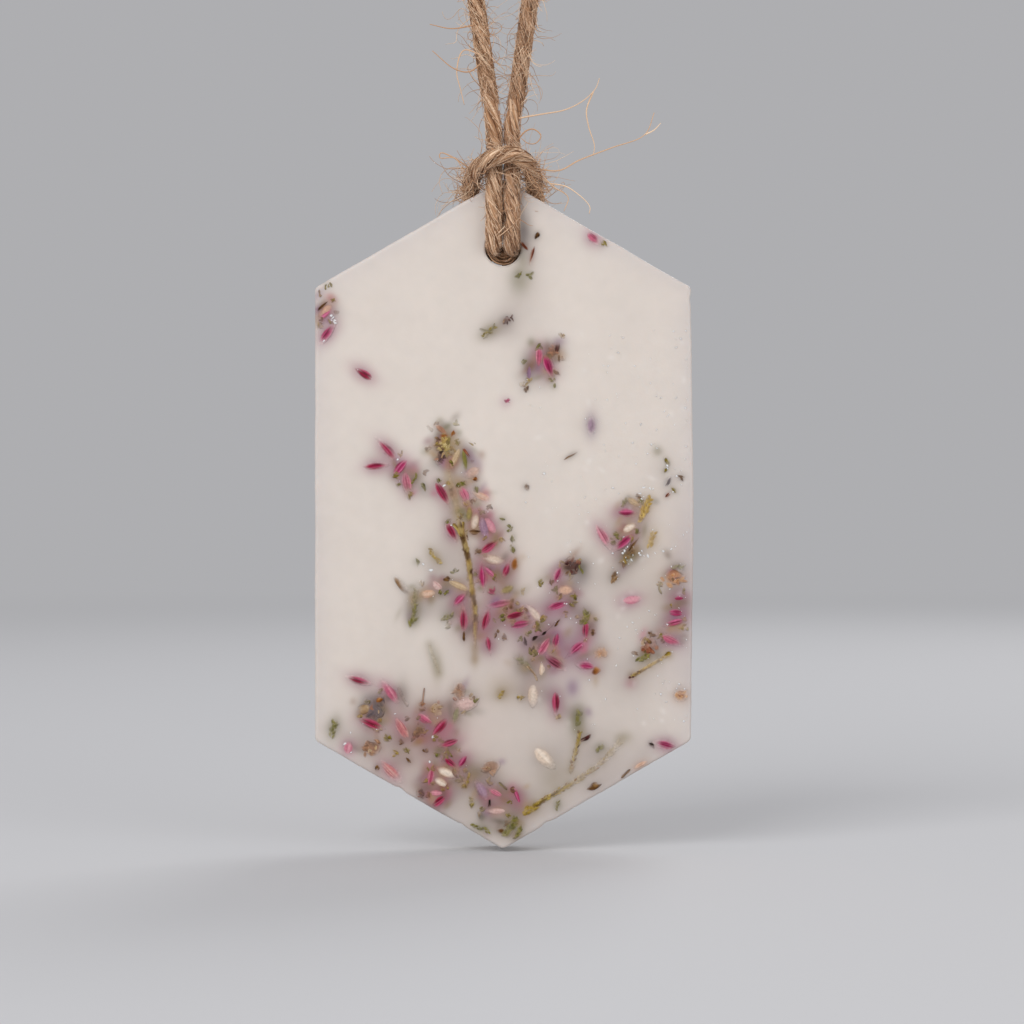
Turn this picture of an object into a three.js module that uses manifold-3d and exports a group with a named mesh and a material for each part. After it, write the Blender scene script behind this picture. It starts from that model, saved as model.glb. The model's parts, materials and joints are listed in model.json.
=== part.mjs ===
// A scented wax tablet with heather set in its front face, hung on a jute loop by a lark's head hitch.
// Millimetres, +Z up, front face towards -Y. The origin is the inside of the loop's top, where a hook
// or a rail carries it. The tablet and the hitch are laid out from the centre of the hole.

import * as THREE from 'three';
import { mergeVertices } from 'three/addons/utils/BufferGeometryUtils.js';
import Module from 'manifold-3d';

const wasm = await Module();
wasm.setup();

// Wax tablet, a long hexagon
const TABLET_WIDTH = 55;
const TABLET_HEIGHT = 98; // tip to tip
const TABLET_THICKNESS = 9;
const END_SLOPE = 30; // degrees, of the four end edges
const CORNER_RADIUS = 1;
const EDGE_CHAMFER = 0.4;
const HOLE_DROP = 10.1; // hole centre below the top tip

// Jute twine
const TWINE_DIAMETER = 2.3;
const CLEARANCE = 0.3; // between strands, and between a strand and the wax
const HOLE_BEND = 1.5; // radius of the strands' turn into the hole
const BAR_RISE = 1.65; // hitch bar above the strands' bend over the tip
const BAR_DROP = 0.7; // drop of the bar's left end
const ROCK_ANGLE = 10; // degrees that the tablet rocks under the ears
const FOLD_RISE = 6.2; // the loop's folding point above the same bend
const EAR_SPREAD = 4.75; // reach of the hitch's two ears from the middle
const LEG_SPLAY = 8; // degrees from upright
const CROWN_RADIUS = 5; // of the loop's round top
const KNOT_DIAMETER = 6.4;
const TAIL_LENGTH = 9;
const TAIL_SPLAY = 25; // degrees from upright

// Heather pieces
const BUD_LENGTH = 3.4;
const BUD_WIDTH = 1.35;
const PALE_BUD_LENGTH = 2.5;
const PALE_BUD_WIDTH = 1.4;
const FLORET_DIAMETER = 2;
const LEAF_LENGTH = 3.2;
const LEAF_WIDTH = 1;
const STEM_DIAMETER = 0.75;
const FLATNESS = 0.8; // depth of a pressed piece for its width
const PROUD = 0.25; // how far the pieces stand out of the wax
const POCKET_CLEARANCE = 0.3;

// Mesh fineness
const WELD = 1e-4;
const TWINE_SIDES = 8;
const HITCH_STEPS = 80;
const ARC_STEPS = 6;
const HOLE_SIDES = 32;
const BUD_SIDES = 8;
const STEM_SIDES = 6;
const STEM_STEPS = 2; // from one place to the next
const OVERRUN = 1; // a cutting body runs this far past the face it opens

// Derived sizes
const HALF_THICKNESS = TABLET_THICKNESS / 2;
const TWINE_RADIUS = TWINE_DIAMETER / 2;
const KNOT_RADIUS = KNOT_DIAMETER / 2;
const STRAND_X = TWINE_RADIUS + CLEARANCE / 2;
const FACE_Y = HALF_THICKNESS + TWINE_RADIUS + CLEARANCE;
const TIP_Z = HOLE_DROP + TWINE_RADIUS + CLEARANCE;
const BAR_Y = -FACE_Y - TWINE_DIAMETER - CLEARANCE;
const BAR_Z = TIP_Z + BAR_RISE;
const FOLD_Z = TIP_Z + FOLD_RISE;
const HOLE_RADIUS = TWINE_DIAMETER + CLEARANCE;
const SPLAY = THREE.MathUtils.degToRad(LEG_SPLAY);
const CROWN_Z = FOLD_Z + (CROWN_RADIUS / Math.cos(SPLAY) - STRAND_X) / Math.tan(SPLAY);
const LOOP_RISE = CROWN_Z + CROWN_RADIUS - TWINE_RADIUS;

// Places on the front face: share of the half width from the middle, share of the height below the
// top tip, and the turn of the piece's length from +X in degrees
const BUDS = [
  [-0.74, 0.291, -33], [-0.93, 0.230, 54], [0.19, 0.267, -90], [0.47, 0.367, 90],
  [-0.62, 0.403, -47], [-0.51, 0.452, -80], [-0.32, 0.470, -61], [-0.07, 0.548, 36],
  [-0.11, 0.591, -86], [0.02, 0.583, 70], [-0.21, 0.656, -88], [-0.09, 0.661, 75],
  [0.07, 0.649, 15], [0.29, 0.592, 65], [0.29, 0.637, 20], [0.44, 0.674, -90],
  [0.39, 0.700, 42], [0.27, 0.721, -33], [0.28, 0.783, -90], [0.65, 0.498, -3],
  [0.53, 0.531, -60], [0.65, 0.540, 40], [-0.76, 0.749, -17], [-0.60, 0.765, -55],
  [-0.71, 0.812, -22], [-0.54, 0.818, -57], [-0.34, 0.819, 52], [-0.28, 0.840, 18],
  [-0.60, 0.883, -45], [0.08, 0.923, -70],
];
const PALE_BUDS = [
  [-0.15, 0.513, 75], [0.16, 0.768, 88], [0.68, 0.628, 10], [-0.20, 0.783, 10],
  [-0.11, 0.913, -60], [0.21, 0.861, -45],
];
const FLORETS = [[0.37, 0.577, 0], [0.91, 0.595, 0], [-0.70, 0.849, 0], [0.77, 0.697, 60]];
const LEAVES = [
  [-0.07, 0.227, 33], [-0.47, 0.646, 80], [0.11, 0.722, -40], [0.76, 0.491, 67],
  [-0.90, 0.819, 75], [0.40, 0.803, 80],
];
const STEMS = {
  main_stem: [[-0.29, 0.434], [-0.26, 0.474], [-0.22, 0.524], [-0.19, 0.561], [-0.17, 0.601],
    [-0.15, 0.644], [-0.15, 0.688], [-0.15, 0.718]],
  lower_stem: [[0.17, 0.935], [0.26, 0.919], [0.41, 0.894], [0.50, 0.876], [0.62, 0.841]],
  right_twig: [[0.69, 0.741], [0.77, 0.728], [0.88, 0.710]],
  mustard_twig: [[0.41, 0.825], [0.39, 0.849], [0.36, 0.883]],
  olive_twig: [[-0.39, 0.695], [-0.37, 0.713], [-0.34, 0.737]],
};

// Half widths along a piece, as shares of its length and of its half width
const BUD_PROFILE = [[0.1, 0.5], [0.3, 0.92], [0.48, 1], [0.72, 0.72], [0.9, 0.34]];
const FLORET_PROFILE = [[0.06, 0.5], [0.25, 0.88], [0.5, 1], [0.75, 0.88], [0.94, 0.5]];
const LEAF_PROFILE = [[0.12, 0.55], [0.35, 1], [0.65, 0.8], [0.88, 0.4]];
const KNOT_PROFILE = [[0.55, -0.8], [0.9, -0.42], [0.84, 0], [0.9, 0.42], [0.55, 0.8]];

const material = (color, roughness) => new THREE.MeshStandardMaterial({ color, roughness, metalness: 0 });
const WAX = material(0xdcd3cb, 0.45);
const JUTE = material(0xb18f68, 0.95);
const CRIMSON = material(0xa61f55, 0.8);
const PALE_PINK = material(0xdba9a4, 0.8);
const DRIED = material(0xa9754b, 0.9);
const GREEN = material(0x6f7a3c, 0.85);
const STRAW = material(0x9a8148, 0.9);

function toSolid(geometry) {
  geometry.deleteAttribute('normal');
  geometry.deleteAttribute('uv');
  const merged = mergeVertices(geometry, WELD);
  const index = merged.index.array;
  const triVerts = [];
  for (let i = 0; i < index.length; i += 3) {
    const [a, b, c] = index.slice(i, i + 3);
    if (a !== b && b !== c && c !== a) triVerts.push(a, b, c);
  }
  return new wasm.Manifold(new wasm.Mesh({
    numProp: 3,
    vertProperties: new Float32Array(merged.attributes.position.array),
    triVerts: new Uint32Array(triVerts),
  }));
}

function toGeometry(solid) {
  const { vertProperties, triVerts } = solid.getMesh();
  const geometry = new THREE.BufferGeometry();
  geometry.setAttribute('position', new THREE.BufferAttribute(vertProperties, 3));
  geometry.setIndex(new THREE.BufferAttribute(triVerts, 1));
  geometry.computeVertexNormals();
  return geometry;
}

function named(name, geometry, look) {
  const mesh = new THREE.Mesh(geometry, look);
  mesh.name = name;
  return mesh;
}

function circleShape(radius, sides) {
  const points = [];
  for (let i = 0; i < sides; i += 1) {
    const turn = (2 * Math.PI * i) / sides;
    points.push(new THREE.Vector2(radius * Math.cos(turn), radius * Math.sin(turn)));
  }
  return new THREE.Shape(points);
}

function tube(points, radius, sides, steps) {
  const extrudePath = new THREE.CatmullRomCurve3(points, false, 'centripetal');
  return new THREE.ExtrudeGeometry(circleShape(radius, sides), { steps, extrudePath });
}

function roundedPolygon(corners, radius) {
  const shape = new THREE.Shape();
  corners.forEach((corner, i) => {
    const before = corners.at(i - 1).clone().sub(corner).normalize();
    const after = corners[(i + 1) % corners.length].clone().sub(corner).normalize();
    const setback = radius / Math.tan(Math.acos(before.dot(after)) / 2);
    const start = corner.clone().addScaledVector(before, setback);
    const end = corner.clone().addScaledVector(after, setback);
    if (i === 0) shape.moveTo(start.x, start.y);
    else shape.lineTo(start.x, start.y);
    shape.quadraticCurveTo(corner.x, corner.y, end.x, end.y);
  });
  return shape;
}

// The hexagon stands on its lower tip, with the hole centre at the origin
function tabletBlank() {
  const halfWidth = TABLET_WIDTH / 2;
  const endHeight = halfWidth * Math.tan(THREE.MathUtils.degToRad(END_SLOPE));
  const top = HOLE_DROP;
  const bottom = HOLE_DROP - TABLET_HEIGHT;
  const corners = [
    [0, top], [-halfWidth, top - endHeight], [-halfWidth, bottom + endHeight],
    [0, bottom], [halfWidth, bottom + endHeight], [halfWidth, top - endHeight],
  ].map(([x, z]) => new THREE.Vector2(x, z));
  const depth = TABLET_THICKNESS - 2 * EDGE_CHAMFER;
  const blank = new THREE.ExtrudeGeometry(roundedPolygon(corners, CORNER_RADIUS), {
    depth,
    curveSegments: 4,
    bevelThickness: EDGE_CHAMFER,
    bevelSize: EDGE_CHAMFER,
    bevelOffset: -EDGE_CHAMFER,
    bevelSegments: 1,
  });
  return blank.rotateX(Math.PI / 2).translate(0, depth / 2, 0);
}

const onFace = (across, down) => [across * TABLET_WIDTH / 2, HOLE_DROP - down * TABLET_HEIGHT];
const axisDepth = (depth) => -HALF_THICKNESS - PROUD + depth / 2;

// A straight-walled pocket under an outline drawn on the front face
function pocketUnder(outline, pieceDepth) {
  const reach = pieceDepth - PROUD + POCKET_CLEARANCE;
  const cut = new THREE.ExtrudeGeometry(new THREE.Shape(outline), {
    depth: reach + OVERRUN,
    bevelEnabled: false,
  });
  return cut.rotateX(Math.PI / 2).translate(0, reach, 0);
}

// A bud, floret or leaf: a flattened spindle lying along its own X
function spindle(length, width, profile) {
  const points = [new THREE.Vector2(0, -length / 2)];
  for (const [along, half] of profile) {
    points.push(new THREE.Vector2(half * width / 2, (along - 0.5) * length));
  }
  points.push(new THREE.Vector2(0, length / 2));
  return new THREE.LatheGeometry(points, BUD_SIDES).rotateZ(-Math.PI / 2).scale(1, FLATNESS, 1);
}

function spindlePocket(length, width, profile) {
  const end = length / 2 + POCKET_CLEARANCE;
  const side = profile.map(([along, half]) => [(along - 0.5) * length, half * width / 2 + POCKET_CLEARANCE]);
  const lower = side.map(([x, y]) => new THREE.Vector2(x, -y));
  const upper = side.map(([x, y]) => new THREE.Vector2(x, y)).reverse();
  const outline = [new THREE.Vector2(-end, 0), ...lower, new THREE.Vector2(end, 0), ...upper];
  return pocketUnder(outline, width * FLATNESS);
}

function pressedPiece(name, [across, down, turn], [length, width, profile], look) {
  const [x, z] = onFace(across, down);
  const mesh = named(name, toGeometry(toSolid(spindle(length, width, profile))), look);
  mesh.position.set(x, axisDepth(width * FLATNESS), z);
  mesh.rotation.y = -THREE.MathUtils.degToRad(turn);
  const pocket = spindlePocket(length, width, profile);
  pocket.rotateY(mesh.rotation.y).translate(x, -HALF_THICKNESS, z);
  return { mesh, pocket };
}

function stemPiece(name, places) {
  const y = axisDepth(STEM_DIAMETER);
  const points = places.map(([across, down]) => {
    const [x, z] = onFace(across, down);
    return new THREE.Vector3(x, y, z);
  });
  const curve = new THREE.CatmullRomCurve3(points, false, 'centripetal');
  const steps = STEM_STEPS * (places.length - 1);
  const stem = tube(points, STEM_DIAMETER / 2, STEM_SIDES, steps);
  const half = STEM_DIAMETER / 2 + POCKET_CLEARANCE;
  const [left, right] = [[], []];
  curve.getSpacedPoints(steps).forEach((point, i) => {
    const along = curve.getTangentAt(i / steps);
    const past = POCKET_CLEARANCE * (Number(i === steps) - Number(i === 0));
    const x = point.x + past * along.x;
    const z = point.z + past * along.z;
    left.push(new THREE.Vector2(x - half * along.z, z + half * along.x));
    right.push(new THREE.Vector2(x + half * along.z, z - half * along.x));
  });
  const pocket = pocketUnder([...right, ...left.reverse()], STEM_DIAMETER);
  pocket.translate(0, -HALF_THICKNESS, 0);
  return { mesh: named(name, toGeometry(toSolid(stem)), STRAW), pocket };
}

function heather() {
  const number = (i) => String(i + 1).padStart(2, '0');
  const bud = [BUD_LENGTH, BUD_WIDTH, BUD_PROFILE];
  const pale = [PALE_BUD_LENGTH, PALE_BUD_WIDTH, BUD_PROFILE];
  const floret = [FLORET_DIAMETER, FLORET_DIAMETER, FLORET_PROFILE];
  const leaf = [LEAF_LENGTH, LEAF_WIDTH, LEAF_PROFILE];
  return [
    ...BUDS.map((place, i) => pressedPiece(`heather_bud_${number(i)}`, place, bud, CRIMSON)),
    ...PALE_BUDS.map((place, i) => pressedPiece(`pale_bud_${number(i)}`, place, pale, PALE_PINK)),
    ...FLORETS.map((place, i) => pressedPiece(`dried_floret_${number(i)}`, place, floret, DRIED)),
    ...LEAVES.map((place, i) => pressedPiece(`leaf_${number(i)}`, place, leaf, GREEN)),
    ...Object.entries(STEMS).map(([name, places]) => stemPiece(name, places)),
  ];
}

function tablet() {
  const group = new THREE.Group();
  const hole = new THREE.CylinderGeometry(
    HOLE_RADIUS, HOLE_RADIUS, TABLET_THICKNESS + 2 * OVERRUN, HOLE_SIDES,
  );
  let wax = toSolid(tabletBlank()).subtract(toSolid(hole));
  for (const { mesh, pocket } of heather()) {
    wax = wax.subtract(toSolid(pocket));
    group.add(mesh);
  }
  group.add(named('wax_tablet', toGeometry(wax), WAX));
  return group;
}

// One side of the hitch, from the loop's foot down the front, through the hole, up the back and round
// an ear to the middle of the bar in front
function hitchSide(side) {
  const footZ = FOLD_Z - TWINE_RADIUS - CLEARANCE;
  const turnY = FACE_Y - HOLE_BEND;
  const turnDiagonal = HOLE_BEND * Math.SQRT1_2;
  const slope = THREE.MathUtils.degToRad(END_SLOPE);
  const rocked = slope + THREE.MathUtils.degToRad(ROCK_ANGLE);
  const earReach = HOLE_DROP * Math.cos(slope) + TWINE_RADIUS + CLEARANCE;
  const crossZ = (earReach - EAR_SPREAD * Math.sin(rocked)) / Math.cos(rocked);
  const rise = BAR_Z - crossZ;
  const lean = (back, up) => [STRAND_X, -FACE_Y * back, TIP_Z + (footZ - TIP_Z) * up];
  const drop = side < 0 ? BAR_DROP : 0;
  return [
    lean(0, 1), lean(0.08, 0.78), lean(0.42, 0.5), lean(0.82, 0.25), lean(1, 0),
    [STRAND_X, -FACE_Y, 0.6 * TIP_Z],
    [STRAND_X, -FACE_Y, HOLE_BEND],
    [STRAND_X, -turnY - turnDiagonal, HOLE_BEND - turnDiagonal],
    [STRAND_X, -turnY, 0],
    [STRAND_X, 0, 0],
    [STRAND_X, turnY, 0],
    [STRAND_X, turnY + turnDiagonal, HOLE_BEND - turnDiagonal],
    [0.33 * EAR_SPREAD, FACE_Y, HOLE_BEND],
    [0.6 * EAR_SPREAD, FACE_Y, 0.35 * crossZ],
    [0.85 * EAR_SPREAD, FACE_Y, 0.57 * crossZ],
    [1.02 * EAR_SPREAD, FACE_Y, 0.82 * crossZ],
    [EAR_SPREAD, 0.92 * FACE_Y, crossZ],
    [EAR_SPREAD, 0.2 * FACE_Y, crossZ + 0.06 * rise],
    [0.97 * EAR_SPREAD, -0.45 * FACE_Y, crossZ + 0.2 * rise - 0.3 * drop],
    [0.86 * EAR_SPREAD, 0.68 * BAR_Y, crossZ + 0.52 * rise - 0.8 * drop],
    [0.62 * EAR_SPREAD, 0.93 * BAR_Y, crossZ + 0.82 * rise - drop],
    [0.3 * EAR_SPREAD, BAR_Y, crossZ + 0.98 * rise - 0.7 * drop],
  ].map(([x, y, z]) => new THREE.Vector3(side * x, y, z));
}

function hitch() {
  const barMiddle = new THREE.Vector3(0, BAR_Y, BAR_Z - 0.25 * BAR_DROP);
  const route = [...hitchSide(-1), barMiddle, ...hitchSide(1).reverse()];
  const twine = tube(route, TWINE_RADIUS, TWINE_SIDES, HITCH_STEPS);
  return named('hitch', toGeometry(toSolid(twine)), JUTE);
}

// A leg has a round foot at the fold and a flat top under the crown
function leg(name, side) {
  const crownOffset = CROWN_Z - FOLD_Z;
  const length = Math.sqrt(STRAND_X ** 2 + crownOffset ** 2 - CROWN_RADIUS ** 2) - CLEARANCE;
  const profile = [0, 0.25, 0.5, 0.75, 1].map((share) => {
    const turn = share * Math.PI / 2;
    return new THREE.Vector2(TWINE_RADIUS * Math.sin(turn), -TWINE_RADIUS * Math.cos(turn));
  });
  profile.push(new THREE.Vector2(TWINE_RADIUS, length), new THREE.Vector2(0, length));
  const strand = new THREE.LatheGeometry(profile, TWINE_SIDES).rotateX(Math.PI / 2);
  const mesh = named(name, toGeometry(toSolid(strand)), JUTE);
  mesh.position.set(side * STRAND_X, 0, FOLD_Z);
  mesh.rotation.y = side * SPLAY;
  return mesh;
}

// Half of the crown, from a leg's top to the knot
function crownArc(name, side) {
  const knotRise = CROWN_RADIUS - TWINE_RADIUS + KNOT_RADIUS;
  const knotReach = KNOT_RADIUS + CLEARANCE;
  const end = Math.acos((CROWN_RADIUS ** 2 + knotRise ** 2 - knotReach ** 2) / (2 * CROWN_RADIUS * knotRise));
  const start = Math.PI / 2 + SPLAY;
  const points = [];
  for (let i = 0; i <= ARC_STEPS; i += 1) {
    const turn = start + (end - start) * i / ARC_STEPS;
    const x = side * CROWN_RADIUS * Math.sin(turn);
    points.push(new THREE.Vector3(x, 0, CROWN_Z + CROWN_RADIUS * Math.cos(turn)));
  }
  return named(name, toGeometry(toSolid(tube(points, TWINE_RADIUS, TWINE_SIDES, ARC_STEPS))), JUTE);
}

function knot() {
  const profile = KNOT_PROFILE.map(([x, y]) => new THREE.Vector2(x * KNOT_RADIUS, y * KNOT_RADIUS));
  const points = [new THREE.Vector2(0, -KNOT_RADIUS), ...profile, new THREE.Vector2(0, KNOT_RADIUS)];
  const lump = new THREE.LatheGeometry(points, TWINE_SIDES + 2).rotateX(Math.PI / 2);
  const mesh = named('top_knot', toGeometry(toSolid(lump)), JUTE);
  mesh.position.z = LOOP_RISE + KNOT_RADIUS;
  return mesh;
}

function tail(name, side) {
  const end = new THREE.CylinderGeometry(TWINE_RADIUS, TWINE_RADIUS, TAIL_LENGTH, TWINE_SIDES);
  end.rotateX(Math.PI / 2).translate(0, 0, KNOT_RADIUS + CLEARANCE + TAIL_LENGTH / 2);
  const mesh = named(name, toGeometry(toSolid(end)), JUTE);
  mesh.position.z = LOOP_RISE + KNOT_RADIUS;
  mesh.rotation.y = side * THREE.MathUtils.degToRad(TAIL_SPLAY);
  return mesh;
}

const sachet = new THREE.Group();
sachet.add(tablet(), hitch(), knot());
for (const [hand, side] of [['left', -1], ['right', 1]]) {
  sachet.add(leg(`${hand}_leg`, side), crownArc(`${hand}_arc`, side), tail(`${hand}_tail`, side));
}
sachet.position.z = -LOOP_RISE;

export default sachet;
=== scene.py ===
"""A scented wax tablet with heather set in its face, hung on a jute loop: its looks.

Shapes are worked out in millimetres from the centre of the hole, front towards -Y, and then put in
the frame in metres.
"""

import json
import math

import bpy
import numpy as np
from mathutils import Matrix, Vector
from mathutils.geometry import delaunay_2d_cdt


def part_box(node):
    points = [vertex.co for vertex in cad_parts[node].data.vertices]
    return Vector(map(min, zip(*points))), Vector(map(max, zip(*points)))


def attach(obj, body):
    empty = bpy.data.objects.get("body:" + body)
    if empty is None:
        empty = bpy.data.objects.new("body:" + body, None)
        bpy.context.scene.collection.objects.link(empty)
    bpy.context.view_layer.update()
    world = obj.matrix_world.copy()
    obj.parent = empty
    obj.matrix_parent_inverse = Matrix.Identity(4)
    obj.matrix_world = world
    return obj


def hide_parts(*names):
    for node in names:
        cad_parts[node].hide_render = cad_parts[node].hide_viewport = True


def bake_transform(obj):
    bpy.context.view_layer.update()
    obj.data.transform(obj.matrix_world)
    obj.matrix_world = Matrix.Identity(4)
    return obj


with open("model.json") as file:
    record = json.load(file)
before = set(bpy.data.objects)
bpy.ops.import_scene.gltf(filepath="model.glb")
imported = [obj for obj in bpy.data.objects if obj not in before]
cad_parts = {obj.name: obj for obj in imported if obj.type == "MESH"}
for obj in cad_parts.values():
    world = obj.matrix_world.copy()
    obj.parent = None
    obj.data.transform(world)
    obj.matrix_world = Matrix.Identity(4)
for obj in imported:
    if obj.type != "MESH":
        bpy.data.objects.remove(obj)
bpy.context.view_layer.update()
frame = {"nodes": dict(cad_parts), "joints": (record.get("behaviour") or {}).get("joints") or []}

MM = 0.001
JOINT_AT = {joint["name"]: joint["pos_m"] for joint in frame["joints"]}
HOLE_AT = np.array(JOINT_AT["tablet_rock"])
WAX_LOW, WAX_HIGH = (np.array(corner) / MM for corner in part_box("wax_tablet"))
draw = np.random.default_rng(29)
ANY_TURN, ANY_PHASE = (0, 3), (0, 6)  # of pieces and waves laid at random, in radians

# Wax tablet
HALF_WIDTH = (WAX_HIGH - WAX_LOW)[0] / 2
HALF_THICKNESS = (WAX_HIGH - WAX_LOW)[1] / 2
TABLET_HEIGHT = 98
END_SLOPE = math.radians(30)
CORNER_RADIUS = 1
HOLE_DROP = 10.1
EDGE_ROUND = 0.4
HOLE_EDGE_ROUND = 0.25
FACE_SPACING = 0.26
BACK_SPACING = 1.0
OUTLINE_SPACING = 0.5
CORNER_STEPS = 6
HOLE_SIDES = 72
INSIDE_ONLY, SAME_POINT = 1, 1e-7  # which triangles of a face are kept, and how near points are one
FLAT_RING = (3, 5)  # from the hole's middle, where the faces start to wave
WEAR_ROOM, TIP_ROOM = 0.12, 0.2  # that the faces' inner points keep from the edges and the two tips
HOLE_ROOM, EDGE_ROOM, NICK_ROOM = 0.4, 0.45, 0.5  # the same, as shares of a spacing or a nick's reach
# Height, wavelength and seed of the ripples in the tablet's shape and shade
EDGE_WEAR = [(0.025, 9, 11), (0.012, 1.6, 12)]
FACE_WAVES = [(0.025, 11, 21)]
FACE_SHADES = [(0.008, 17, 4), (0.004, 3, 5)]
BODY_SHADES = [(0.014, 13, 31), (0.009, 4, 32)]
CROWD_SHADES = [(0.2, 5, 6)]
EDGE_FADE = 1.8  # how far the shade at the edge reaches in
STAIN_DEPTH = 1.4  # how far the stains of the face show on the side
COLOUR_BLOCK = 1500  # points that are coloured at a time
SPECK_DEPTH, SPECK_PROUD = 0.2, 0.08
SPECK_SPREAD = 1.3  # of the specks beside a piece
SPECK_EVERY = 3  # pieces from one with a speck to the next
SPECK_EDGE = 3
SPECK_HEIGHTS = (-78, -4)
LISTED_SIZES, FIELD_SIZES, BESIDE_SIZES, BACK_SIZES = (0.3, 0.55), (0.1, 0.34), (0.1, 0.28), (0.15, 0.5)
SPECK_SLIMS = (0.35, 0.8)
BACK_SLIM = 0.6
BACK_EDGE = 1
BACK_AREA = (-HALF_WIDTH, -85), (HALF_WIDTH, -5)
FIELD_SPECKS, BACK_SPECKS, FROST_SPOTS = 190, 150, 40
BACK_SEED = 41
# Specks and frost crowd towards the right of the face: right side and bottom of each, then what they share
SPECKS_RIGHT, SPECKS_LOW = 27, -70
FROST_RIGHT, FROST_LOW = HALF_WIDTH - 1, -72
FIELD_WIDTH, FIELD_TOP, FIELD_CROWD = 24, -12, 1.6

# Jute twine, with the sizes of its route
TWINE_DIAMETER = 2.3
CLEARANCE = 0.3
HOLE_BEND = 1.5
BAR_RISE = 1.65
BAR_DROP = 0.7
ROCK_ANGLE = math.radians(10)
FOLD_RISE = 6.2
EAR_SPREAD = 4.75
LEG_SPLAY = math.radians(8)
CROWN_RADIUS = 5
KNOT_DIAMETER = 6.4
TAIL_LENGTH = 9
TAIL_SPLAY = math.radians(25)
TWINE_RADIUS = TWINE_DIAMETER / 2
KNOT_RADIUS = KNOT_DIAMETER / 2
STRAND_X = TWINE_RADIUS + CLEARANCE / 2
FACE_Y = HALF_THICKNESS + TWINE_RADIUS + CLEARANCE
TIP_Z = HOLE_DROP + TWINE_RADIUS + CLEARANCE
BAR_Y = -FACE_Y - TWINE_DIAMETER - CLEARANCE
BAR_Z = TIP_Z + BAR_RISE
FOLD_Z = TIP_Z + FOLD_RISE
HOLE_RADIUS = TWINE_DIAMETER + CLEARANCE
CROWN_Z = FOLD_Z + (CROWN_RADIUS / math.cos(LEG_SPLAY) - STRAND_X) / math.tan(LEG_SPLAY)
LOOP_RISE = CROWN_Z + CROWN_RADIUS - TWINE_RADIUS

# How the twine is laid
ROUTE_STEP = 0.22
FOLD_REACH = 3  # the twine bends this far each side of the fold
PLIES = 3
PLY_SIDES = 26
LAY_LENGTH = 15
PLY_OFFSET = 0.53
PLY_RADIUS = 0.59
FIBRE_LAY = 0.35  # turn of the fibres on a ply for each turn of the ply
CROWN_POINTS = 8
ROUTE_SIDE = (0.3, 1.0, 0.1)  # a direction in which no stretch of twine starts
PLY_SWELL = 0.05
SWELL_LENGTH, SWELL_SHIFT = 2.3, 2.1  # of the plies' swelling, and from one ply's to the next
RIDGE_WAVES = (3, 5, 7, 9, 11)  # bundles of fibre round a ply
RIDGE_HEIGHT = 0.055  # as a share of the ply's radius
RIDGE_WANDER = 0.9
WANDER_LENGTHS = (1.6, 4.0)
PLY_LIGHT, RIDGE_LIGHT, SWAY_LIGHT = 0.62, 0.28, 0.12  # of the twine, its ridges and its slow changes
SWAY_LENGTH = 3.7
GROOVE_SHADE_REACH = (0.42, 1.12)  # from the twine's middle: where the painted shade of a groove is deepest, and where it ends
GRAIN_LENGTH = 15  # how many times longer than wide the grain of the fibres is
PLY_GRAIN = 7  # keeps the plies' grains apart
FRAY_SLIM, FRAY_REACH = 0.25, 0.9  # how slim the plies of a cut end get and how far they open
EAR_SHARE = 0.6  # of the ears' spread and the tip's height, past which the hitch is an ear
KNOT_POINTS = 24
KNOT_TURNS, KNOT_START = 1.35, 0.4  # turns of a strand's wrap, and where it starts in radians
KNOT_WAIST, KNOT_BULGE = 1.25, 0.75  # reach of a wrap at its ends, and what it gains between them
BULGE_SKEW, BULGE_FULLNESS = 1.05, 0.7
KNOT_DEPTH = 0.95  # as a share of its width
KNOT_FOOT, KNOT_HEIGHT = 0.4, 5.2
ENTRY_SPREAD, ENTRY_RISE = 1.9, 0.92  # where a strand leaves the crown, the rise as a share of its radius
TAIL_START = 1.0  # out of the knot
FRAY_STRETCH = (0.6, 1.05)  # of a tail's length, over which its plies open
KNOT_SEED, TAIL_SEED = 20, 30
TAIL_SHARES = (0, 0.35, 0.7, 1)

# Loose fibres of the twine: how many, the longest, and how steeply they leave it
LOOP_FUZZ = [(230, 7.5, (0.25, 1.8)), (160, 2.6, (0.2, 0.8))]
HITCH_FUZZ = (420, 4.0, (0.2, 1.2))
EAR_FUZZ = (170, 8.5, (0.6, 2.0))
KNOT_FUZZ = (110, 5, (0.2, 1.2))
TAIL_FUZZ = (60, 3.5, (0.2, 1.0))
FIBRE_RADII = (0.035, 0.075)
FIBRE_STEP = 0.45
FIBRE_SHARES, FIBRE_SHORTNESS = (0.25, 1), 1.4  # of the longest, and how far they lean to short
FIBRE_ROOTS = (0.75, 1.0)  # as shares of the twine's radius
FIBRE_BENDS = (0.04, 0.32)
FIBRE_WAVER = 0.09
FIBRE_LIGHTS = (0.35, 1)
FIBRE_POINTS = 7
THREAD_SIDE = (0.37, 0.81, 0.45)  # a direction that hardly any fibre takes
THREAD_TIP = 0.45  # a fibre's radius at its tip, as a share of that at its root
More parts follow.
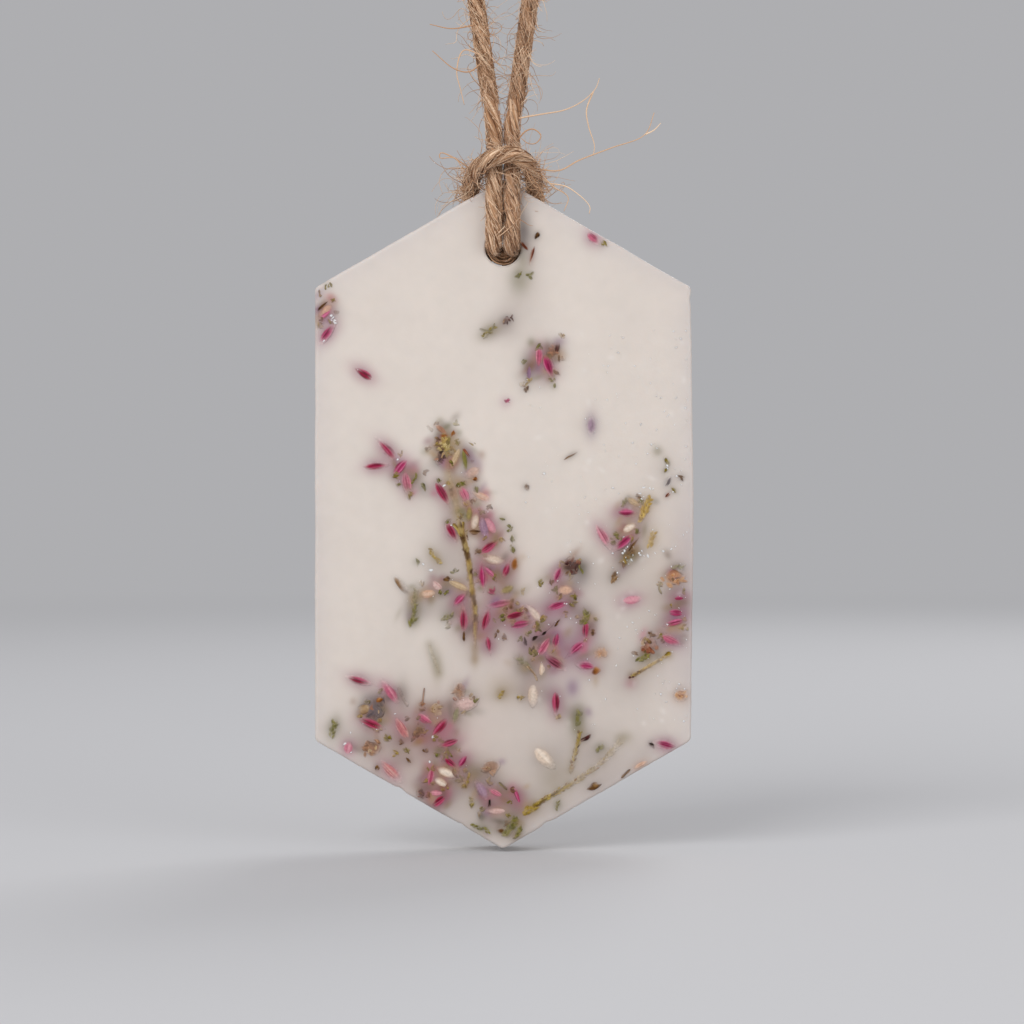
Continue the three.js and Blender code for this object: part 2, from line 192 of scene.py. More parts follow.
# Fibres that lie on the twine, gather in the hole, brush out of a cut end, or stray far
LOOP_NAP, HITCH_NAP, KNOT_NAP, TAIL_NAP = 850, 2400, 400, 180
NAP_LENGTHS = (1.4, 4.5)
NAP_SLANT = (1.0, 0.35)  # mean and spread, as a share of the plies' own
NAP_WAVER = 0.12
NAP_LIFTS, NAP_TIPS = (0.98, 1.12), (0, 0.12)  # from the twine's middle, as shares of its radius
NAP_LIGHTS = (0.08, 1.1)
SHORTEST_STEP = 0.02  # a fibre with a shorter one runs past the twine's end and is left out
HOLE_FLUFF = 150
FLUFF_ARC = (math.radians(185), math.radians(355))
FLUFF_REACHES = (0.35, 0.93)  # as shares of the hole's radius
FLUFF_DEPTHS = (-0.1, 3.2)
FLUFF_WAVE = 0.3
FLUFF_RISES = (-0.2, 0.6)
FLUFF_RADII = (0.05, 0.1)
# Kept low, so the fibres in the hole are dark as painted shade
FLUFF_LIGHTS = (0.05, 0.6)
BRUSH_FIBRES = 90
BRUSH_LENGTHS = (1, 3)
BRUSH_START = 0.8  # share of the tail from which it brushes out
BRUSH_SPLAY, BRUSH_SPREAD = 0.35, 0.4
BRUSH_RADIUS = 0.07
BRUSH_LIGHTS = (0.1, 1)
STRAY_RADIUS = 0.13
STRAY_STEP = 0.4
STRAY_LIGHTS = (0.5, 1)

# Heather
PROUD = 0.1
PIECE_DEPTH, PETAL_DEPTH = 2.4, 2.6  # in times the height that a piece stands proud
TWIG_PROUD = 0.14
TWIG_FLATNESS = 0.4
RIM_FADE = 0.75  # share of a piece's height, squared, over which it comes clear of the wax
VEIL_SINK = 0.8  # how much lower a fully veiled piece lies, as a share of its height
GROWTH = np.array([1.54, 1.5])  # pieces are made this much longer and wider than they show
BUD_STRETCH, BUD_SLIM = 1.12, 0.8  # buds are longer and slimmer than that, pale ones slimmer only
HAZE_REACH = 1.7  # how far a piece clouds the wax
HAZE_CROWD = 1.9  # pieces in reach that cloud it to two thirds of its deepest
HAZE_DEEPEST = 0.74
HAZE_ONSET = 2.2  # how suddenly the haze comes with the crowd
WASH_MOST = 0.8
STAIN_REACH = 4  # spreads of a stain past which it does not show
HALO, RED_HALO = 0.28, 0.5  # how far the stain round a piece reaches past it
HALO_SHARE = 0.3  # of a piece's own size
RED_GLOW, PLAIN_CLOUD = 0.7, 0.1  # shares of the glow in the stain of a red piece, of cloud in another's
OUT = np.array([0, -1.0, 0])  # out of the front face
# Skew and fullness of a piece's outline
BUD_OUTLINE, PETAL_OUTLINE, BLADE_OUTLINE = (0.85, 1.2), (1.0, 0.6), (0.7, 1.0)
SEAM_WIDTH = 0.3
STREAK_END = 0.15  # share of a bud over which a streak fades
GREEN_BASES = 0.4  # share of the buds with a green base
DEEPEST_SINK = 0.04
THIN_VEIL, MOST_VEILED = 0.03, 0.8
LEAFLET_ROOM = 0.2  # area of a sprig for each of its leaflets
LEAFLET_LENGTH, LEAFLET_WIDTH = 0.35, 0.14  # the least, to which a share of the sprig's width is added
SCALE_LENGTHS, SCALE_WIDTHS = (0.6, 1.1), (0.24, 0.4)
SCALE_EVERY = 2  # points of a stem from one pair of scale leaves to the next
SCALE_VEIL = 0.9  # the most
FLORET_PETALS = 15
CRUMB_SIZE, CRUMB_SPREAD = 0.5, 0.18
CRUMB_LENGTHS, CRUMB_WIDTHS = (0.5, 1.0), (0.3, 0.5)  # of its bits
CRUMB_VEIL, STREWN_VEILS = 0.15, (0.25, 0.6)
CRUMB_EDGE, STREWN_EDGE = 0.4, 0.5
STREWN_REACHES = (1.0, 2.4)  # from a listed piece
CRUMB_ROOM = 0.85  # that a strewn crumb keeps from the listed pieces
TWIG_STEP = 0.2
TWIG_SIDES = 18
TWIG_SINK = 1.1  # how much lower a fully veiled twig lies, as a share of its height
TWIG_END, TWIG_STUB = 0.3, 0.3  # length of a twig's rounded end, and its least share of the radius
BARK_WAVE = 1.1
BARK_HEIGHT, KNOB_HEIGHT, SCAR_HEIGHT = 0.1, 0.14, 0.15  # as shares of a twig's radius
SCAR_SPACING, SCAR_WIDTH = 1.7, 0.2
NODE_WIDTH, STEM_WIDTH = 1.3, 0.9  # taken for the stains of the nodes' pieces and the stems
CROWDED = (1.0, 3.5)  # crowding at which deep pieces and strewn crumbs start, and are most
DEEP_PIECES, STREWN_CRUMBS = 7, 3  # most of them for each piece there
DEEP_REACHES = (0.6, 2.6)  # from a listed piece
# Half length, half width and strength of the stains of deep pieces and of frost
DEEP_LENGTHS, DEEP_WIDTHS, DEEP_STRENGTHS = (0.35, 0.95), (0.25, 0.5), (0.2, 0.5)
FROST_LENGTHS, FROST_WIDTHS, FROST_STRENGTHS = (0.22, 0.5), (0.2, 0.3), (0.1, 0.25)

EDGE_LINES = [
    (np.array([math.sin(turn), math.cos(turn)]), limit) for turn, limit in [
        (side * math.pi / 2, HALF_WIDTH) for side in (-1, 1)
    ] + [
        (side * END_SLOPE, HOLE_DROP * math.cos(END_SLOPE)) for side in (-1, 1)
    ] + [
        (math.pi + side * END_SLOPE, (TABLET_HEIGHT - HOLE_DROP) * math.cos(END_SLOPE)) for side in (-1, 1)
    ]
]  # outward normal of each edge and how far from the hole it lies


def colour(red, green, blue):
    """Linear colour of an sRGB one from 0 to 255."""
    value = np.array([red, green, blue]) / 255
    return np.where(value > 0.04045, ((value + 0.055) / 1.055) ** 2.4, value / 12.92)


IVORY = colour(216, 206, 197)
FROST = colour(238, 234, 230)
CLOUD = colour(122, 104, 100)
EDGE_SHADE = np.array([0.11, 0.1, 0.06])  # what the wax loses of each colour at its edge
BUD_GLOW = colour(154, 84, 120)
# White of the face's crystals, painted as bright as glints
CRYSTAL_GLINT = colour(250, 248, 246)
PALE_SPECK = colour(236, 230, 224)
STUDIO_COLOUR = colour(198, 198, 201)
FLOOR_COLOUR = colour(205, 205, 207)
JUTE = [colour(104, 66, 38), colour(196, 150, 112), colour(245, 214, 182)]
# Dark, main and light colour of each plant look
TONES = {
    "crimson": ((74, 0, 20), (138, 10, 52), (186, 86, 116)),
    "magenta": ((98, 6, 42), (154, 34, 82), (198, 108, 140)),
    "pink": ((132, 30, 64), (182, 86, 112), (208, 146, 156)),
    "rose": ((146, 48, 62), (188, 112, 110), (206, 166, 156)),
    "plum": ((44, 0, 16), (104, 8, 38), (166, 90, 108)),
    "mauve": ((90, 40, 56), (138, 88, 100), (176, 140, 146)),
    "purple": ((88, 54, 84), (130, 96, 124), (166, 138, 154)),
    "lavender": ((106, 88, 116), (142, 122, 140), (174, 158, 170)),
    "cream": ((154, 112, 78), (202, 176, 152), (224, 208, 192)),
    "blush": ((160, 98, 98), (194, 152, 146), (214, 186, 178)),
    "peach": ((150, 92, 64), (190, 142, 114), (210, 178, 156)),
    "maroon": ((30, 6, 6), (70, 30, 26), (126, 82, 66)),
    "rust": ((78, 26, 12), (128, 70, 44), (168, 118, 88)),
    "brown": ((42, 22, 6), (92, 60, 26), (142, 108, 66)),
    "soot": ((14, 8, 6), (38, 24, 16), (86, 64, 46)),
    "ochre": ((86, 42, 10), (136, 82, 34), (174, 124, 74)),
    "umber": ((74, 44, 26), (142, 100, 70), (182, 142, 110)),
    "orange": ((116, 66, 32), (180, 128, 80), (206, 166, 126)),
    "tan": ((118, 86, 50), (166, 136, 98), (196, 172, 140)),
    "straw": ((62, 32, 6), (138, 108, 54), (176, 152, 98)),
    "mustard": ((76, 54, 4), (138, 112, 32), (172, 148, 70)),
    "bract": ((106, 80, 26), (170, 146, 78), (214, 196, 138)),
    "gold": ((92, 62, 4), (156, 122, 38), (192, 162, 86)),
    "olive": ((64, 54, 6), (114, 99, 30), (148, 132, 68)),
    "green": ((52, 50, 4), (94, 90, 20), (130, 122, 56)),
    "moss": ((30, 28, 12), (66, 60, 30), (106, 98, 66)),
    "sage": ((84, 80, 50), (114, 108, 72), (146, 140, 108)),
    "slate": ((56, 48, 52), (88, 78, 82), (128, 118, 120)),
}
LOOKS = {look: [colour(*tone) for tone in tones] for look, tones in TONES.items()}

RED_LOOKS = {"crimson", "magenta", "pink", "rose", "plum"}
STREWN_LOOKS = ["green", "olive", "mustard", "straw", "brown"]
DEEP_LOOKS = ["green", "olive", "straw", "tan", "brown", "umber", "moss", "mauve", "purple", "pink", "tan"]

# Heather pieces that stand for a node each, by the nodes' order
BUD_LOOKS = [
    "crimson", "magenta", "pink", "purple", "crimson", "pink",
    "crimson", "crimson", "magenta", "crimson", "crimson", "crimson",
    "crimson", "magenta", "magenta", "crimson", "magenta", "plum",
    "crimson", "magenta", "pink", "magenta", "crimson", "pink",
    "crimson", "rose", "crimson", "crimson", "rose", "magenta",
]
BUD_SIZES = [
    (3.2, 1.3), (3.0, 1.2), (3.1, 1.2), (2.2, 1.2), (3.3, 1.4), (3.0, 1.45), (3.5, 1.35), (3.0, 1.3),
    (3.1, 1.15), (2.2, 1.05), (3.2, 1.25), (3.0, 1.3), (3.1, 1.1), (2.5, 1.1), (2.9, 1.2), (2.3, 1.05),
    (2.7, 1.2), (3.1, 1.5), (3.0, 1.1), (2.5, 1.35), (3.5, 1.2), (3.2, 1.2), (3.3, 1.1), (3.3, 1.35),
    (3.3, 1.25), (3.4, 1.35), (2.9, 1.4), (2.9, 1.15), (3.5, 1.5), (2.6, 0.95),
]
TIP_DOWN = {3, 7, 12, 14, 16, 17, 19, 23, 27, 30}
PALE_LOOKS = ["cream", "cream", "pink", "blush", "purple", "cream"]
PALE_TIP_DOWN = {2, 6}
PALE_SIZES = [(2.3, 1.25), (2.8, 1.5), (2.6, 1.35), (2.6, 1.9), (2.7, 1.3), (3.6, 1.85)]
FLORET_LOOKS = ["maroon", "orange", "umber", "rust"]
FLORET_SIZES = [(2.5, 2.1)] * 4
LEAF_LOOKS = ["olive", "green", "sage", "gold", "green", "green"]
LEAF_SIZES = [(2.6, 0.9), (3.0, 1.0), (2.4, 1.3), (4.2, 1.5), (2.4, 1.2), (2.3, 1.4)]
BUD_VEILS = {4: 0.45, 6: 0.2, 21: 0.15, 24: 0.15, 26: 0.15, 29: 0.1}
PALE_VEILS = {1: 0.35, 2: 0.35, 3: 0.15, 4: 0.3, 5: 0.2}
FLORET_VEILS = {1: 0.0, 2: 0.0, 3: 0.0, 4: 0.0}
LEAF_VEILS = {1: 0.1, 2: 0.25, 3: 0.4, 4: 0.0, 5: 0.1, 6: 0.3}
# Look, radius at the upper and the lower end, and the veil at even steps from the upper end down
STEM_LOOKS = {
    "main_stem": ("straw", 0.72, 0.56, (
        0.9, 0.8, 0.35, 0.5, 0.8, 0.75, 0, 0, 0, 0, 0, 0, 0.05, 0.05, 0.1, 0.1, 0.15, 0.25, 0.4, 0.7, 0.98,
    )),
    "lower_stem": ("mustard", 0.3, 0.42, (0.9, 0.7, 0.5, 0.4, 0.3, 0.2, 0.1, 0)),
    "right_twig": ("gold", 0.3, 0.34, (0.5, 0.3, 0.2, 0.1)),
    "mustard_twig": ("mustard", 0.36, 0.22, (0.1, 0.1, 0.2, 0.4, 0.7)),
    "olive_twig": ("olive", 0.34, 0.2, (0.5, 0.55, 0.7, 0.95)),
}
# Reach of the scale leaves on the stems that have them
SCALED_STEMS = {"lower_stem": 0.6, "mustard_twig": 0.46, "right_twig": 0.2}

# The other heather pieces: across and up from the hole, turn from +X in degrees, length, width, look,
# and how far the wax veils them
LOOSE_BUDS = [
    (13.5, 2.0, -45, 2.0, 1.2, "pink", 0.1), (6.7, -17.4, -70, 2.9, 1.3, "magenta", 0),
    (3.8, -18.1, 85, 2.0, 0.7, "purple", 0.2), (-18.6, -31.9, 5, 3.2, 1.2, "crimson", 0),
    (-14.9, -31.9, 48, 2.6, 1.3, "magenta", 0), (-5.6, -36.1, -68, 2.3, 1.3, "pink", 0),
    (-7.5, -41.5, -61, 2.6, 1.2, "crimson", 0), (-6.3, -51.3, 45, 2.2, 1.0, "magenta", 0),
    (-2.1, -57.9, -80, 2.2, 1.0, "crimson", 0.1), (-0.3, -52.0, 10, 3.0, 1.1, "magenta", 0.35),
    (2.6, -55.0, 12, 2.9, 1.2, "magenta", 0.1), (6.1, -58.2, 57, 2.8, 1.2, "pink", 0.1),
    (7.8, -57.2, 80, 2.0, 1.0, "magenta", 0.1), (12.3, -61.1, -10, 2.2, 1.3, "magenta", 0.05),
    (5.6, -61.5, 90, 2.3, 1.0, "cream", 0.1), (23.9, -72.7, -14, 2.8, 1.2, "magenta", 0),
    (-11.3, -68.9, -32, 2.3, 1.2, "pink", 0), (-5.8, -74.9, 55, 1.9, 0.9, "magenta", 0),
    (-7.6, -75.3, -40, 1.9, 0.9, "crimson", 0), (-10.5, -77.2, 80, 2.5, 1.0, "pink", 0.1),
    (-9.2, -80.8, 38, 2.6, 1.2, "crimson", 0), (-0.9, -79.8, -32, 2.5, 0.9, "pink", 0.1),
    (25.8, -51.2, 0, 2.0, 0.9, "magenta", 0.1), (25.4, -53.3, -5, 2.4, 1.1, "magenta", 0),
    (25.3, -54.7, 15, 2.5, 1.0, "magenta", 0), (24.5, -57.3, -25, 2.8, 1.2, "pink", 0.1),
]
LOOSE_PETALS = [
    (-25.9, -9.1, 42, 2.0, 0.9, "peach", 0.25), (-26.0, -9.7, 42, 1.7, 0.7, "magenta", 0.1),
    (-9.1, -26.5, -40, 1.8, 0.7, "rust", 0.3), (-4.4, -32.7, 30, 2.0, 1.3, "peach", 0.55),
    (-3.1, -36.3, -25, 2.0, 1.0, "peach", 0.35), (-2.8, -40.9, -75, 2.9, 1.3, "purple", 0.25),
    (-2.0, -40.4, -55, 2.6, 1.4, "pink", 0.3), (-1.5, -45.5, -10, 2.6, 1.2, "cream", 0.4),
    (-1.9, -47.4, -42, 1.9, 0.7, "magenta", 0.25), (-9.7, -49.3, -40, 1.8, 1.2, "blush", 0.25),
    (-11.0, -50.6, 10, 2.0, 1.2, "peach", 0.15), (4.6, -53.5, -50, 2.4, 1.1, "cream", 0.35),
    (9.1, -50.0, 0, 1.8, 1.2, "peach", 0.1), (19.0, -37.1, -30, 1.6, 0.8, "tan", 0.3),
    (18.3, -41.0, 30, 1.8, 1.2, "cream", 0.1),
    (-22.6, -73.1, 80, 1.5, 1.2, "pink", 0.1), (-8.3, -76.7, -25, 2.2, 1.3, "cream", 0.1),
    (-9.1, -78.1, -25, 1.9, 1.2, "cream", 0.1), (-9.8, -79.7, 0, 1.9, 1.0, "pink", 0.1),
    (-0.9, -82.3, 0, 2.5, 1.0, "blush", 0.2), (20.2, -75.9, 30, 2.0, 0.6, "peach", 0.2),
    (-6.9, -30.6, 65, 2.6, 0.9, "tan", 0.15), (-5.6, -30.8, -83, 2.9, 0.7, "green", 0.1),
    (-4.9, -38.9, 85, 1.8, 0.9, "olive", 0.3), (-6.7, -49.3, -22, 2.9, 1.0, "tan", 0.1),
    (-6.9, -68.4, 75, 2.3, 0.9, "sage", 0.25), (0.6, -50.0, 30, 1.8, 1.2, "olive", 0.4),
]
LOOSE_LEAVES = [
    (-12.9, -33.7, 60, 1.5, 0.7, "green", 0.1), (-8.2, -28.9, 90, 2.6, 1.3, "olive", 0.35),
    (-9.9, -45.1, -50, 2.9, 0.9, "mustard", 0.1), (-12.9, -51.0, 80, 2.6, 1.0, "sage", 0.5),
    (-13.2, -54.5, 60, 1.2, 1.2, "green", 0.1), (-8.0, -53.9, 20, 1.8, 0.9, "green", 0.2),
    (11.5, -47.0, -60, 1.3, 0.6, "green", 0.1), (-0.3, -65.2, 60, 1.2, 0.9, "mustard", 0.2),
    (12.1, -53.9, 80, 1.9, 1.4, "green", 0.1), (21.8, -42.5, 70, 2.4, 1.3, "gold", 0.25),
    (16.3, -48.1, 70, 1.5, 1.2, "brown", 0), (25.7, -46.7, 0, 1.5, 0.9, "sage", 0.2),
    (20.7, -59.9, 30, 2.0, 1.2, "green", 0.1), (-5.0, -77.5, 70, 1.5, 0.7, "mustard", 0.2),
    (-3.1, -84.9, -18, 2.9, 0.9, "green", 0.1), (1.2, -84.5, 52, 3.4, 1.6, "green", 0.15),
    (2.2, -85.4, 60, 1.8, 1.0, "green", 0.15),
    (14.2, -73.1, 45, 1.2, 1.0, "green", 0.15), (4.1, -81.9, 30, 2.3, 1.6, "mustard", 0.05),
    (8.0, -81.4, 80, 1.2, 0.6, "green", 0.2),
]
LOOSE_FLORETS = [
    (26.0, -65.5, 0, 1.8, 1.5, "orange", 0.1), (-9.8, -67.4, 0, 1.9, 1.6, "tan", 0.2),
    (-6.4, -64.8, 90, 2.4, 1.6, "umber", 0.25), (-1.8, -75.9, 20, 2.4, 1.7, "umber", 0.1),
    (-18.6, -67.3, 60, 2.9, 2.3, "slate", 0.1), (-12.4, -70.9, 60, 1.7, 1.4, "brown", 0.25),
    (14.3, -59.2, 0, 1.9, 1.3, "orange", 0.35), (18.5, -44.6, 30, 1.7, 1.1, "brown", 0.15),
    (0.5, -10.6, 20, 1.6, 1.0, "maroon", 0.1), (7.3, -15.0, 60, 2.0, 1.2, "rust", 0.3),
    (-9.1, -30.5, 70, 2.2, 1.3, "soot", 0), (-12.0, -79.8, 90, 1.5, 0.9, "maroon", 0.1),
    (-8.6, -28.6, 80, 2.8, 1.6, "bract", 0),
]
LOOSE_CHIPS = [
    (-26.4, -8.5, 40, 1.6, 0.36, "brown", 0), (5.0, 1.8, 60, 0.9, 0.4, "brown", 0),
    (3.1, 0.3, -45, 1.2, 0.4, "rust", 0), (4.2, -1.2, 75, 2.0, 0.4, "rust", 0),
    (7.9, -14.6, 80, 1.2, 0.5, "maroon", 0.1), (-8.6, -27.5, 0, 0.9, 0.4, "ochre", 0),
    (-7.3, -27.2, 70, 0.9, 0.4, "ochre", 0),
    (-5.3, -30.0, -55, 1.5, 0.4, "rust", 0), (-4.1, -33.8, 0, 0.6, 0.4, "ochre", 0),
    (-4.1, -41.5, 0, 1.3, 0.6, "brown", 0), (1.7, -46.3, 80, 1.5, 0.7, "ochre", 0),
    (-14.9, -49.4, -48, 2.3, 0.7, "brown", 0), (-8.2, -48.5, 0, 0.9, 0.6, "brown", 0),
    (-5.7, -56.8, 90, 1.2, 0.4, "brown", 0), (1.3, -52.0, 80, 1.2, 0.7, "brown", 0),
    (13.7, -61.8, 25, 1.2, 0.7, "ochre", 0), (9.9, -30.4, 31, 1.8, 0.28, "brown", 0),
    (24.0, -31.2, -60, 0.9, 0.34, "olive", 0), (23.8, -32.5, 60, 0.6, 0.32, "olive", 0),
    (24.1, -34.2, 60, 1.1, 0.34, "slate", 0.2), (25.0, -35.4, -45, 0.8, 0.32, "olive", 0),
    (24.1, -36.1, 45, 0.8, 0.3, "rust", 0), (19.0, -43.4, 52, 2.2, 0.34, "brown", 0),
    (4.7, -57.0, 35, 0.9, 0.34, "soot", 0), (5.9, -56.3, 35, 0.8, 0.32, "soot", 0),
    (8.0, -54.8, 48, 1.1, 0.28, "brown", 0), (12.0, -71.7, 35, 1.6, 0.42, "maroon", 0),
    (-20.3, -67.4, 20, 1.4, 0.8, "tan", 0.2), (18.8, -62.6, 30, 0.8, 0.5, "maroon", 0),
    (24.1, -59.5, 20, 0.9, 0.6, "mustard", 0), (-18.0, -66.1, 40, 1.0, 0.6, "ochre", 0),
    (-18.4, -76.0, 80, 0.7, 0.4, "brown", 0),
    (-2.0, -81.2, 80, 0.9, 0.4, "soot", 0), (-0.3, -85.2, 0, 0.9, 0.6, "brown", 0),
    (13.3, -78.7, 25, 1.8, 0.7, "brown", 0),
]
# Crumbs of leaf and stalk, across and up from the hole
CRUMBS = {
    "olive": [
        (-25.7, -5.4), (-24.7, -7.7), (14.6, 0.6), (-15.8, -33.3), (-13.6, -36.1), (5.0, -55.0),
        (5.8, -54.4), (10.2, -51.0), (10.4, -51.9), (23.1, -56.7), (-10.1, -71.7), (-17.0, -71.5),
        (-14.1, -73.5), (0.7, -82.9), (-4.5, -81.3), (0.7, -80.8), (5.4, -48.7),
    ],
    "green": [
        (2.3, -3.7), (3.9, -3.9), (3.2, -16.7), (6.9, -19.2), (7.4, -20.2), (-11.7, -34.9), (-9.5, -34.1),
        (-6.4, -34.5), (-5.6, -34.6), (-3.9, -35.2), (-8.2, -40.1), (-12.6, -45.9), (-8.3, -50.3),
        (-9.1, -50.6), (0.1, -54.2), (-0.4, -53.7), (16.7, -41.9), (-9.6, -73.8), (-0.1, -39.6),
        (0.9, -40.9), (1.5, -42.3), (1.5, -44.0), (5.2, -14.2), (11.7, -54.9), (-4.2, -66.2),
    ],
    "mustard": [(3.8, -19.4), (2.6, -65.8), (8.1, -68.7), (-21.1, -68.4), (-5.5, -78.7), (-15.6, -73.8)],
    "brown": [
        (3.4, -20.6), (-3.5, -44.3), (-1.0, -56.4), (0.1, -57.0), (13.1, -56.1), (3.3, -34.9), (26.1, -33.6),
        (17.5, -46.5), (21.5, -56.6), (7.2, -48.8), (-11.4, -73.5), (-13.7, -75.0), (-14.9, -72.2),
    ],
    "soot": [(3.1, -57.9), (4.2, -58.6), (21.6, -72.5)],
    "magenta": [(0.4, -22.5), (-1.6, -50.4)],
    "ochre": [(-11.8, -66.8)],
}
# Look, radius, veil and line of the loose twigs
LOOSE_TWIGS = [
    ("green", 0.2, 0.3, [(-3.4, -11.8), (-1.8, -12.1), (-1.2, -11.0)]),
    ("green", 0.2, 0.4, [(-1.8, -12.1), (-2.9, -13.3)]),
    ("bract", 0.26, 0, [(-7.3, -40.3), (-6.7, -41.0), (-6.1, -42.2)]),
    ("bract", 0.26, 0, [(-5.8, -40.0), (-5.9, -41.0), (-6.1, -42.2)]),
    ("slate", 0.16, 0.5, [(4.2, -57.1), (6.1, -56.1), (8.6, -53.9)]),
    ("tan", 0.22, 0.2, [(3.5, -61.1), (4.6, -62.3), (5.0, -63.3)]),
    ("olive", 0.2, 0.2, [(23.1, -48.8), (22.8, -49.7), (23.2, -50.6)]),
    ("moss", 0.3, 0.5, [(-15.3, -64.2), (-14.6, -65.9), (-13.9, -67.0)]),
    ("ochre", 0.16, 0.2, [(-11.5, -64.3), (-11.8, -66.8)]),
    ("olive", 0.25, 0.2, [(-0.6, -78.1), (0.6, -79.2)]),
    ("brown", 0.2, 0.1, [(17.3, -77.5), (18.6, -76.2)]),
]
# Pieces too deep to see but as a stain: across, up, spread across and up, look, strength
STAINS = [
    (3.2, 2.4, 0.7, 1.5, "slate", 0.5), (2.8, -1.6, 0.6, 1.2, "sage", 0.4),
    (2.4, -4.8, 1.1, 1.4, "sage", 0.5),
    (8.2, -15.8, 0.6, 0.6, "orange", 0.35), (4.3, -17.3, 0.9, 1.0, "slate", 0.45),
    (11.4, -47.7, 1.0, 1.2, "slate", 0.5), (0.1, -64.5, 1.8, 1.5, "mustard", 0.25),
    (10.2, -64.3, 0.7, 1.0, "purple", 0.65), (22.6, -29.7, 0.55, 0.55, "sage", 0.5),
    (18.6, -63.7, 0.7, 0.6, "magenta", 0.3), (-18.7, -67.3, 1.5, 1.5, "slate", 0.55),
    (-5.0, -76.0, 0.7, 0.7, "green", 0.3), (-3.7, -76.5, 0.7, 0.7, "green", 0.3),
    (10.8, -69.6, 0.8, 1.3, "green", 0.4), (-8.0, -33.9, 0.6, 2.0, "bract", 0.3),
    (-6.6, -38.3, 0.6, 2.3, "bract", 0.35), (-9.6, -61.4, 0.6, 1.8, "olive", 0.3),
    (-4.1, -59.5, 0.4, 1.2, "straw", 0.4), (17.7, -71.5, 0.9, 0.6, "olive", 0.35),
    (3.3, -61.0, 1.2, 1.1, "green", 0.5), (-14.7, -65.4, 0.7, 1.5, "moss", 0.4),
    (7.5, -77.5, 1.6, 2.0, "olive", 0.25), (18.6, -44.8, 1.3, 1.1, "slate", 0.4),
    (26.3, -55, 2.2, 7, "lavender", 0.2), (7, -58.5, 4, 4, "lavender", 0.22),
    (26.5, -44, 1.5, 5, "lavender", 0.15), (6, -56, 4.5, 3.5, "purple", 0.18), (6, -57, 4, 4, "pink", 0.1),
    (-11, -72, 6, 4.5, "rust", 0.2), (-10, -72, 6, 5, "pink", 0.07), (-1, -48, 3.5, 7, "tan", 0.1),
    (-1, -50, 3.5, 6, "pink", 0.06), (0, -80.5, 3.5, 3, "straw", 0.13),
    (24, -50, 2.5, 5, "tan", 0.12), (19, -42, 4, 4.5, "tan", 0.1),
]
# Wide patches of cloudier or clearer wax, and of painted shade at the lower end: across, up, spread across
# and up, strength
WASHES = [
    (14, -64, 9, 8, 0.14), (21, -52, 6, 9, 0.12), (2, -66, 6, 4, 0.05), (14, -46, 6, 6, 0.06),
    (0, -50, 9, 12, 0.04),
    (-10, -72, 9, 7, 0.08), (3, -6, 2.2, 6, 0.2), (-11, -36, 3.5, 3, 0.12), (-3.4, -54.5, 2.5, 5, 0.2),
    (-7.5, -45, 2.5, 2.5, 0.25), (-15, -68.5, 4, 3, 0.22), (10, -52, 2.5, 2.5, 0.15),
    (23.5, -52, 2.5, 3, 0.18),
    # The first three of this row are painted shade that darkens the lower end of the face
    (-14, -76.5, 6, 3.5, 0.2), (12, -76, 7, 4, 0.36), (0, -82.5, 7, 4, 0.2), (-10, -47, 4, 5, 0.08),
    (-5.5, -56, 2.5, 2.5, 0.12), (5.4, -64.5, 3, 3, 0.18), (18.6, -63, 2.5, 2.5, 0.18),
    (16, -48.5, 3, 2.5, 0.1),
    (-7.7, -81.5, 3, 2, 0.18), (1, -10, 1.5, 2.5, 0.12), (-16.5, -57.5, 3, 4, 0.06),
    (23, -32, 2, 3, 0.08), (-2, -12, 2, 1.5, 0.1), (-8, -27, 2.5, 2.5, -0.2), (-3.4, -34, 2.5, 4, -0.16),
    (-7.7, -74, 2.5, 2, -0.12),
]
# Bright crystals and scratches on the wax, painted white as glints, across and up from the hole
FLECKS = [
    (-25.1, -9.9), (-24.9, -10.2), (-24.6, -10.6), (-25.0, -10.6), (-24.5, -11.0), (-26.2, -13.6),
    (-24.7, -10.8), (-15.4, -30.9), (-8.6, -34.8), (-7.5, -40.5),
    (-11.7, -46.2), (-10.5, -47.1), (21.5, -35.1), (20.3, -36.8), (17.8, -44.3), (19.0, -44.9),
    (16.7, -47.5), (24.0, -32.2), (-15.8, -68.1), (-10.2, -71.5), (-10.7, -75.1), (-23.1, -72.5),
    (-22.2, -73.7), (21.2, -45.0), (22.2, -44.6), (23.4, -44.3), (24.6, -44.0),
    (18.2, -43.7), (17.5, -44.6), (19.9, -44.6), (20.3, -44.3), (20.1, -44.9), (18.8, -45.6), (17.7, -45.9),
    (20.0, -35.9), (20.6, -35.0), (21.9, -35.2), (20.1, -37.0), (24.0, -31.8), (6.0, -33.0),
]
# Chips out of the tablet's edge: across, up, depth, reach
NICKS = [(27.4, -7.5, 0.2, 0.4), (-15.2, -79.4, 0.3, 0.4), (6.4, -84.3, 0.25, 0.5), (-6.2, -84.6, 0.2, 0.35)]
SIDE_BOW = 0.4  # the right side is cast this much proud of straight
BOW_REACH = 0.2 * TABLET_HEIGHT

